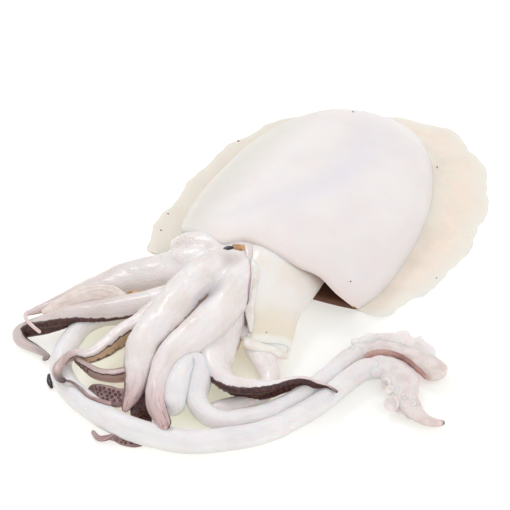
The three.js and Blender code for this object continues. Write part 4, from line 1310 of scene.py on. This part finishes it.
# %% The small limbs
STRAND_PAINT = dict(mauve=[(0, 1), (1, 1)], stain=[(0, 1), (1, 1)], line=[(0, 1), (1, 1)],
                    black=[(0, 0.2), (1, 0.5)])
BLACK = dict(black=[(0, 1), (1, 1)])
WET = dict(wet=[(0, 0.7), (1, 0.7)])
PINK = dict(mauve=[(0, 0.3), (1, 0.3)], wet=[(0, 0.5), (1, 0.5)])
GAP_SHADE = dict(mauve=[(0, 0.8), (1, 1)], black=[(0, 0), (0.5, 0.1), (0.75, 0.5), (1, 0.6)])
SMALL_LIMBS = {
    "funnel_ridge": (membrane_pale, dict(
        route=[(9, -76.8, 25.6), (16.2, -84.6, 24.4), (21.7, -91.9, 21.8), (28, -101.3, 18),
               (33.9, -109, 13.4), (37, -112.8, 11)],
        girth=[(5, 3, 0), (10, 4.6, 0), (11, 5, 0), (10.5, 4.8, 0), (8, 4, 0), (4, 2, 0)]), WET),
    "funnel_lip": (membrane_pale, dict(
        route=[(34.4, -116, 9.5), (39, -118.3, 9.4), (44, -117.2, 9), (49, -115.3, 8.4),
               (54, -113.4, 7.2), (58, -111, 5.5)],
        girth=[(4, 3, 0), (8.5, 5.4, 0), (9, 5.6, 0), (8.5, 5.4, 0), (7.5, 5, 0), (4, 3, 0)]), {}),
    # Painted shade: a dark line in the gap between the funnel and the front arm
    "funnel_seam": (arm_skin, dict(
        route=[(10.5, -81.5, 26.6), (12.8, -84.5, 27), (18.5, -92, 26), (23.3, -99.5, 23.6),
               (26.5, -105.5, 17), (30, -110.5, 11)],
        girth=[(1.2, 1, 0), (2, 1.5, 0), (2.2, 1.6, 0), (2, 1.6, 0), (1.8, 1.4, 0),
               (1, 1, 0)]), GAP_SHADE),
    # Painted shade: a black strip in the gap under the mantle's rim
    "neck_hole": (arm_skin, dict(
        route=[(-4.5, -84.8, 27.7), (-2.7, -82.6, 28.1), (-0.5, -80.4, 28)],
        girth=[(1.4, 0.9, 0), (3.2, 1.3, 0), (1.8, 1, 0)]), BLACK),
    # Painted shade between the far arms, with an orange speck in it
    "far_pocket": (small_skins["organ_skin"], dict(
        route=[(-33.4, -129.4, 13.5), (-29.3, -129.7, 15), (-26.9, -127.2, 16)],
        girth=[(2, 1.6, 0), (4, 3, 0), (2, 1.6, 0)]), {}),
    "neck_pink": (arm_skin, dict(
        route=[(0.5, -73.6, 27.6), (5.4, -76.2, 27.6), (9.4, -80.1, 27.1), (11.5, -83.8, 26.4)],
        girth=[(2, 1.4, 0), (5, 2.6, 0), (5, 2.6, 0), (2, 1.4, 0)]), PINK),
    "membrane": (membrane_skin, dict(
        route=[(-31, -131.7, 13.3), (-41.4, -136.5, 13.7), (-49.4, -143.7, 13.2), (-54, -151.7, 12),
               (-57.8, -159, 10.6), (-61.8, -165, 9.4)],
        girth=[(3, 1.5, -30), (11, 2.6, -38), (13, 2.8, -38), (12, 2.6, -38), (9, 2.2, -33),
               (3, 1.5, -20)]), {}),
    "strand": (arm_skin, dict(
        route=[(12, -193.5, 11), (6.5, -196, 12.3), (0.5, -197, 12.8), (-5, -196, 13.2),
               (-11.5, -195.5, 13.5), (-15, -196.8, 13.8)],
        girth=[(3.2, 2, 0), (2.6, 1.8, 0), (2, 1.6, 0), (1.8, 1.5, 0), (1.6, 1.4, 0),
               (1.2, 1.2, 0)]), STRAND_PAINT),
    "hidden_end": (arm_skin, dict(
        route=[(-33.5, -190, 1.5), (-29.5, -194, 1.5), (-25.5, -196.5, 1.5)],
        girth=[(2, 1.8, 0), (3.1, 2.6, 0), (1.6, 1.6, 0)]), BLACK),
    "organ": (small_skins["organ_skin"], dict(
        route=[(-2.4, -79.6, 27.8), (0.4, -79, 28.1), (3, -78, 28.1), (5.4, -76.8, 27.8)],
        girth=[(2, 1, 0), (5, 1.8, 0), (5, 1.8, 0), (2, 1, 0)]), {}),
}
EVEN = (0.03, 0.03)           # swell and folds
UNEVEN = {"membrane": (0.03, 0.14), "funnel_lip": (0.06, 0.1)}
SMALL_SEED = 140
for number, (name, (material, limb, paint)) in enumerate(SMALL_LIMBS.items()):
    swell, folds = UNEVEN.get(name, EVEN)
    piece = limb_skin(name, limb, paint, around=32, spacing=0.7, seed=SMALL_SEED + number,
                      swell=swell, folds=folds)
    keep(piece, material)
    print(name, len(piece.data.polygons), "faces")

# %% [markdown]
# ## Suckers
#
# The arms carry rows of cups on their dark side, far too many to place by hand. A Geometry Nodes
# tree sets one small cup on each site, turned to the direction that the skin faces there. The sites
# are read off the arms' own rings, so each cup stands in the skin.

# %% One cup
CUP_PROFILE = [(0.86, -0.6), (1.0, -0.1), (0.94, 0.2), (0.76, 0.28), (0.52, 0.1)]
CUP_AROUND = 12


def cup_mesh():
    """A shallow dish of radius 1, from its foot over the rim to its floor."""
    turn = 2 * math.pi * np.arange(CUP_AROUND) / CUP_AROUND
    rings = np.array([[(r * math.cos(t), r * math.sin(t), h) for t in turn]
                      for r, h in CUP_PROFILE])
    return skin("cup", rings, (0, 0, -0.6), (0, 0, -0.05))


print("a cup has", (len(CUP_PROFILE) + 1) * CUP_AROUND, "faces")

# %% The tree that sets cups
set_cups = bpy.data.node_groups.new("set_cups", "GeometryNodeTree")
for key, kind in (("Sites", "NodeSocketGeometry"), ("Cup", "NodeSocketObject"),
                  ("Finish", "NodeSocketMaterial"), ("Uneven", FLOAT), ("Seed", "NodeSocketInt")):
    set_cups.interface.new_socket(name=key, in_out="INPUT", socket_type=kind)
set_cups.interface.new_socket(name="Cups", in_out="OUTPUT", socket_type="NodeSocketGeometry")
into, out_of = set_cups.nodes.new("NodeGroupInput"), set_cups.nodes.new("NodeGroupOutput")


def stored(key, kind):
    return add_node(set_cups, "GeometryNodeInputNamedAttribute", {"Name": key},
                    data_type=kind).outputs[0]


turned = add_node(set_cups, "FunctionNodeAlignRotationToVector",
                  {"Vector": stored("aim", "FLOAT_VECTOR")}, axis="Z")
chance = add_node(set_cups, "FunctionNodeRandomValue", data_type="FLOAT")
for key, value in (("Min", calculate(set_cups, "SUBTRACT", 1.0, into.outputs["Uneven"])),
                   ("Max", calculate(set_cups, "ADD", 1.0, into.outputs["Uneven"])),
                   ("Seed", into.outputs["Seed"])):
    feed(set_cups, next(s for s in chance.inputs if s.name == key and s.enabled), value)
factor = next(s for s in chance.outputs if s.enabled)
cup = add_node(set_cups, "GeometryNodeObjectInfo", {"Object": into.outputs["Cup"]})
placed = add_node(set_cups, "GeometryNodeInstanceOnPoints", {
    "Points": into.outputs["Sites"], "Instance": cup.outputs["Geometry"],
    "Rotation": turned.outputs[0],
    "Scale": calculate(set_cups, "MULTIPLY", stored("size", "FLOAT"), factor)})
real = add_node(set_cups, "GeometryNodeRealizeInstances", {"Geometry": placed.outputs[0]})
finished = add_node(set_cups, "GeometryNodeSetMaterial", {
    "Geometry": real.outputs[0], "Material": into.outputs["Finish"]})
feed(set_cups, out_of.inputs["Cups"], finished.outputs[0])
print("cup tree:", len(set_cups.nodes), "nodes")


# %% Set cups on sites
def add_cups(name, sites, aims, sizes, material, slot, uneven, seed):
    mesh = bpy.data.meshes.new(name + "_sites")
    mesh.from_pydata((np.array(sites) * MM).tolist(), [], [])
    set_vectors(mesh, "aim", aims)
    mesh.attributes.new("size", "FLOAT", "POINT").data.foreach_set("value", np.float32(sizes))
    holder = bpy.data.objects.new(name + "_sites", mesh)
    bpy.context.scene.collection.objects.link(holder)
    pattern = cup_mesh()
    step = holder.modifiers.new("cups", "NODES")
    step.node_group = set_cups
    named = {item.name: item.identifier for item in set_cups.interface.items_tree
             if item.in_out == "INPUT"}
    for key, value in (("Cup", pattern), ("Finish", material), ("Uneven", uneven), ("Seed", seed)):
        step[named[key]] = value
    graph = bpy.context.evaluated_depsgraph_get()
    cups = bpy.data.meshes.new_from_object(holder.evaluated_get(graph))
    holder.modifiers.remove(step)
    bpy.data.objects.remove(holder)
    bpy.data.objects.remove(pattern)
    piece = keep(finish_mesh(name, cups), material)
    print(name, len(sites), "cups,", len(piece.data.polygons), "faces")


print("cups can be set")

# %% The suckers on the arms' dark sides
PITCH = 2.3                   # from cup to cup along an arm
ROWS = (-5, -2, 1, 4)         # places round a ring, from the middle of the sucker side
FACE_MIDDLE = ARM_MESH["around"] * 3 // 4
STAINED_ENOUGH = 0.45
WIDE_ENOUGH = 4.5
FEWEST_CUPS = 8


def cup_sites(arm, rings, along):
    """Sites, directions and radii of the cups on the stained part of an arm."""
    around = rings.shape[1]
    stained = np.interp(along, *zip(*arm["paint"].get("stain", [(0, 0), (1, 0)])))
    width = through(arm["girth"], along)[:, 0]
    steps = int(length_of(arm["route"]) / PITCH)
    found = []
    for count in range(1, steps):
        for row, offset in enumerate(ROWS):
            share = (count + 0.5 * (row % 2)) / steps
            at = int(np.clip(np.searchsorted(along, share), 1, len(along) - 2))
            if stained[at] < STAINED_ENOUGH or width[at] < WIDE_ENOUGH:
                continue
            place = (FACE_MIDDLE + offset) % around
            round_way = rings[at, (place + 1) % around] - rings[at, place - 1]
            long_way = rings[at + 1, place] - rings[at - 1, place]
            facing = np.cross(round_way, long_way)
            facing /= np.linalg.norm(facing) + 1e-9
            if facing @ (rings[at, place] - rings[at].mean(0)) < 0:
                facing = -facing
            found.append((rings[at, place], facing, min(0.075 * width[at], 0.85)))
    return found


for number, (name, arm) in enumerate(ARMS.items()):
    rings, _, _, values = limb_rings(arm, seed=ARM_SEED + number, **ARM_MESH)
    found = cup_sites(arm, rings, values["along"][:, 0])
    if len(found) > FEWEST_CUPS:
        add_cups("suckers_" + name, *zip(*found), small_skins["sucker_dark"], "arm_skin",
                 uneven=0.2, seed=number)

# %% The clubs' few large suckers
CLUB_CUPS = [                 # place, direction and radius
    ((117.3, -107.8, 6), (0.15, -0.55, 0.8), 3.9), ((121.5, -107.5, 5), (0.1, -0.6, 0.8), 2.8),
    ((127, -108, 4.4), (0.1, -0.6, 0.8), 2.5), ((134, -107, 4.5), (0.2, -0.5, 0.8), 1.6),
    ((112, -101.5, 7.2), (-0.2, -0.5, 0.8), 2.4), ((121, -102, 8.2), (0.1, -0.3, 1), 2.0),
    ((126, -102.5, 7.6), (0.1, -0.2, 1), 1.6), ((108, -98.3, 6.4), (-0.3, -0.8, 0.5), 3.2),
    ((115.6, -100, 7.8), (0, -0.1, 1), 2.5)]
add_cups("club_suckers", *zip(*CLUB_CUPS), small_skins["sucker_pale"], "flesh", uneven=0.05, seed=3)

# %% [markdown]
# ## Specks
#
# A few dark grains lie on the pale skin. Each is a small uneven dome, and a ray from above finds
# the height of the skin that it sits on.

# %% Specks on the skin
SPECK_PROFILE = ((0.8, -0.3), (1.0, 0.05), (0.6, 0.3))     # radius and height for a size of 1
SPECKS = [(-26, 71, 0.8), (-80.5, 27, 0.8), (-68.8, -54.6, 0.6), (-62.5, -68.5, 0.7),
          (58.7, -57.7, 0.6), (43, -110, 0.5), (84, -10, 0.5), (34.8, 71.3, 0.7)]


def speck(name, x, y, size, seed):
    """A grain on top of whatever lies under x and y."""
    bpy.context.view_layer.update()
    hits = [piece.ray_cast(Vector((x * MM, y * MM, 0.1)), Vector((0, 0, -1)))
            for piece in (mantle, fin, funnel)]
    height = max((place.z / MM for hit, place, _, _ in hits if hit), default=0.0)
    turn = 2 * math.pi * np.arange(10) / 10
    rings = np.array([[(x + r * size * math.cos(t), y + 0.7 * r * size * math.sin(t),
                        height + h * size) for t in turn] for r, h in SPECK_PROFILE])
    rings += 0.2 * size * waves(rings, 1.0, seed)[..., None]
    return skin(name, rings, (x, y, height - 0.3 * size), (x, y, height + 0.35 * size))


for number, (x, y, size) in enumerate(SPECKS):
    keep(speck("speck_%d" % number, x, y, size, number), small_skins["speck_skin"])
print(len(SPECKS), "specks")
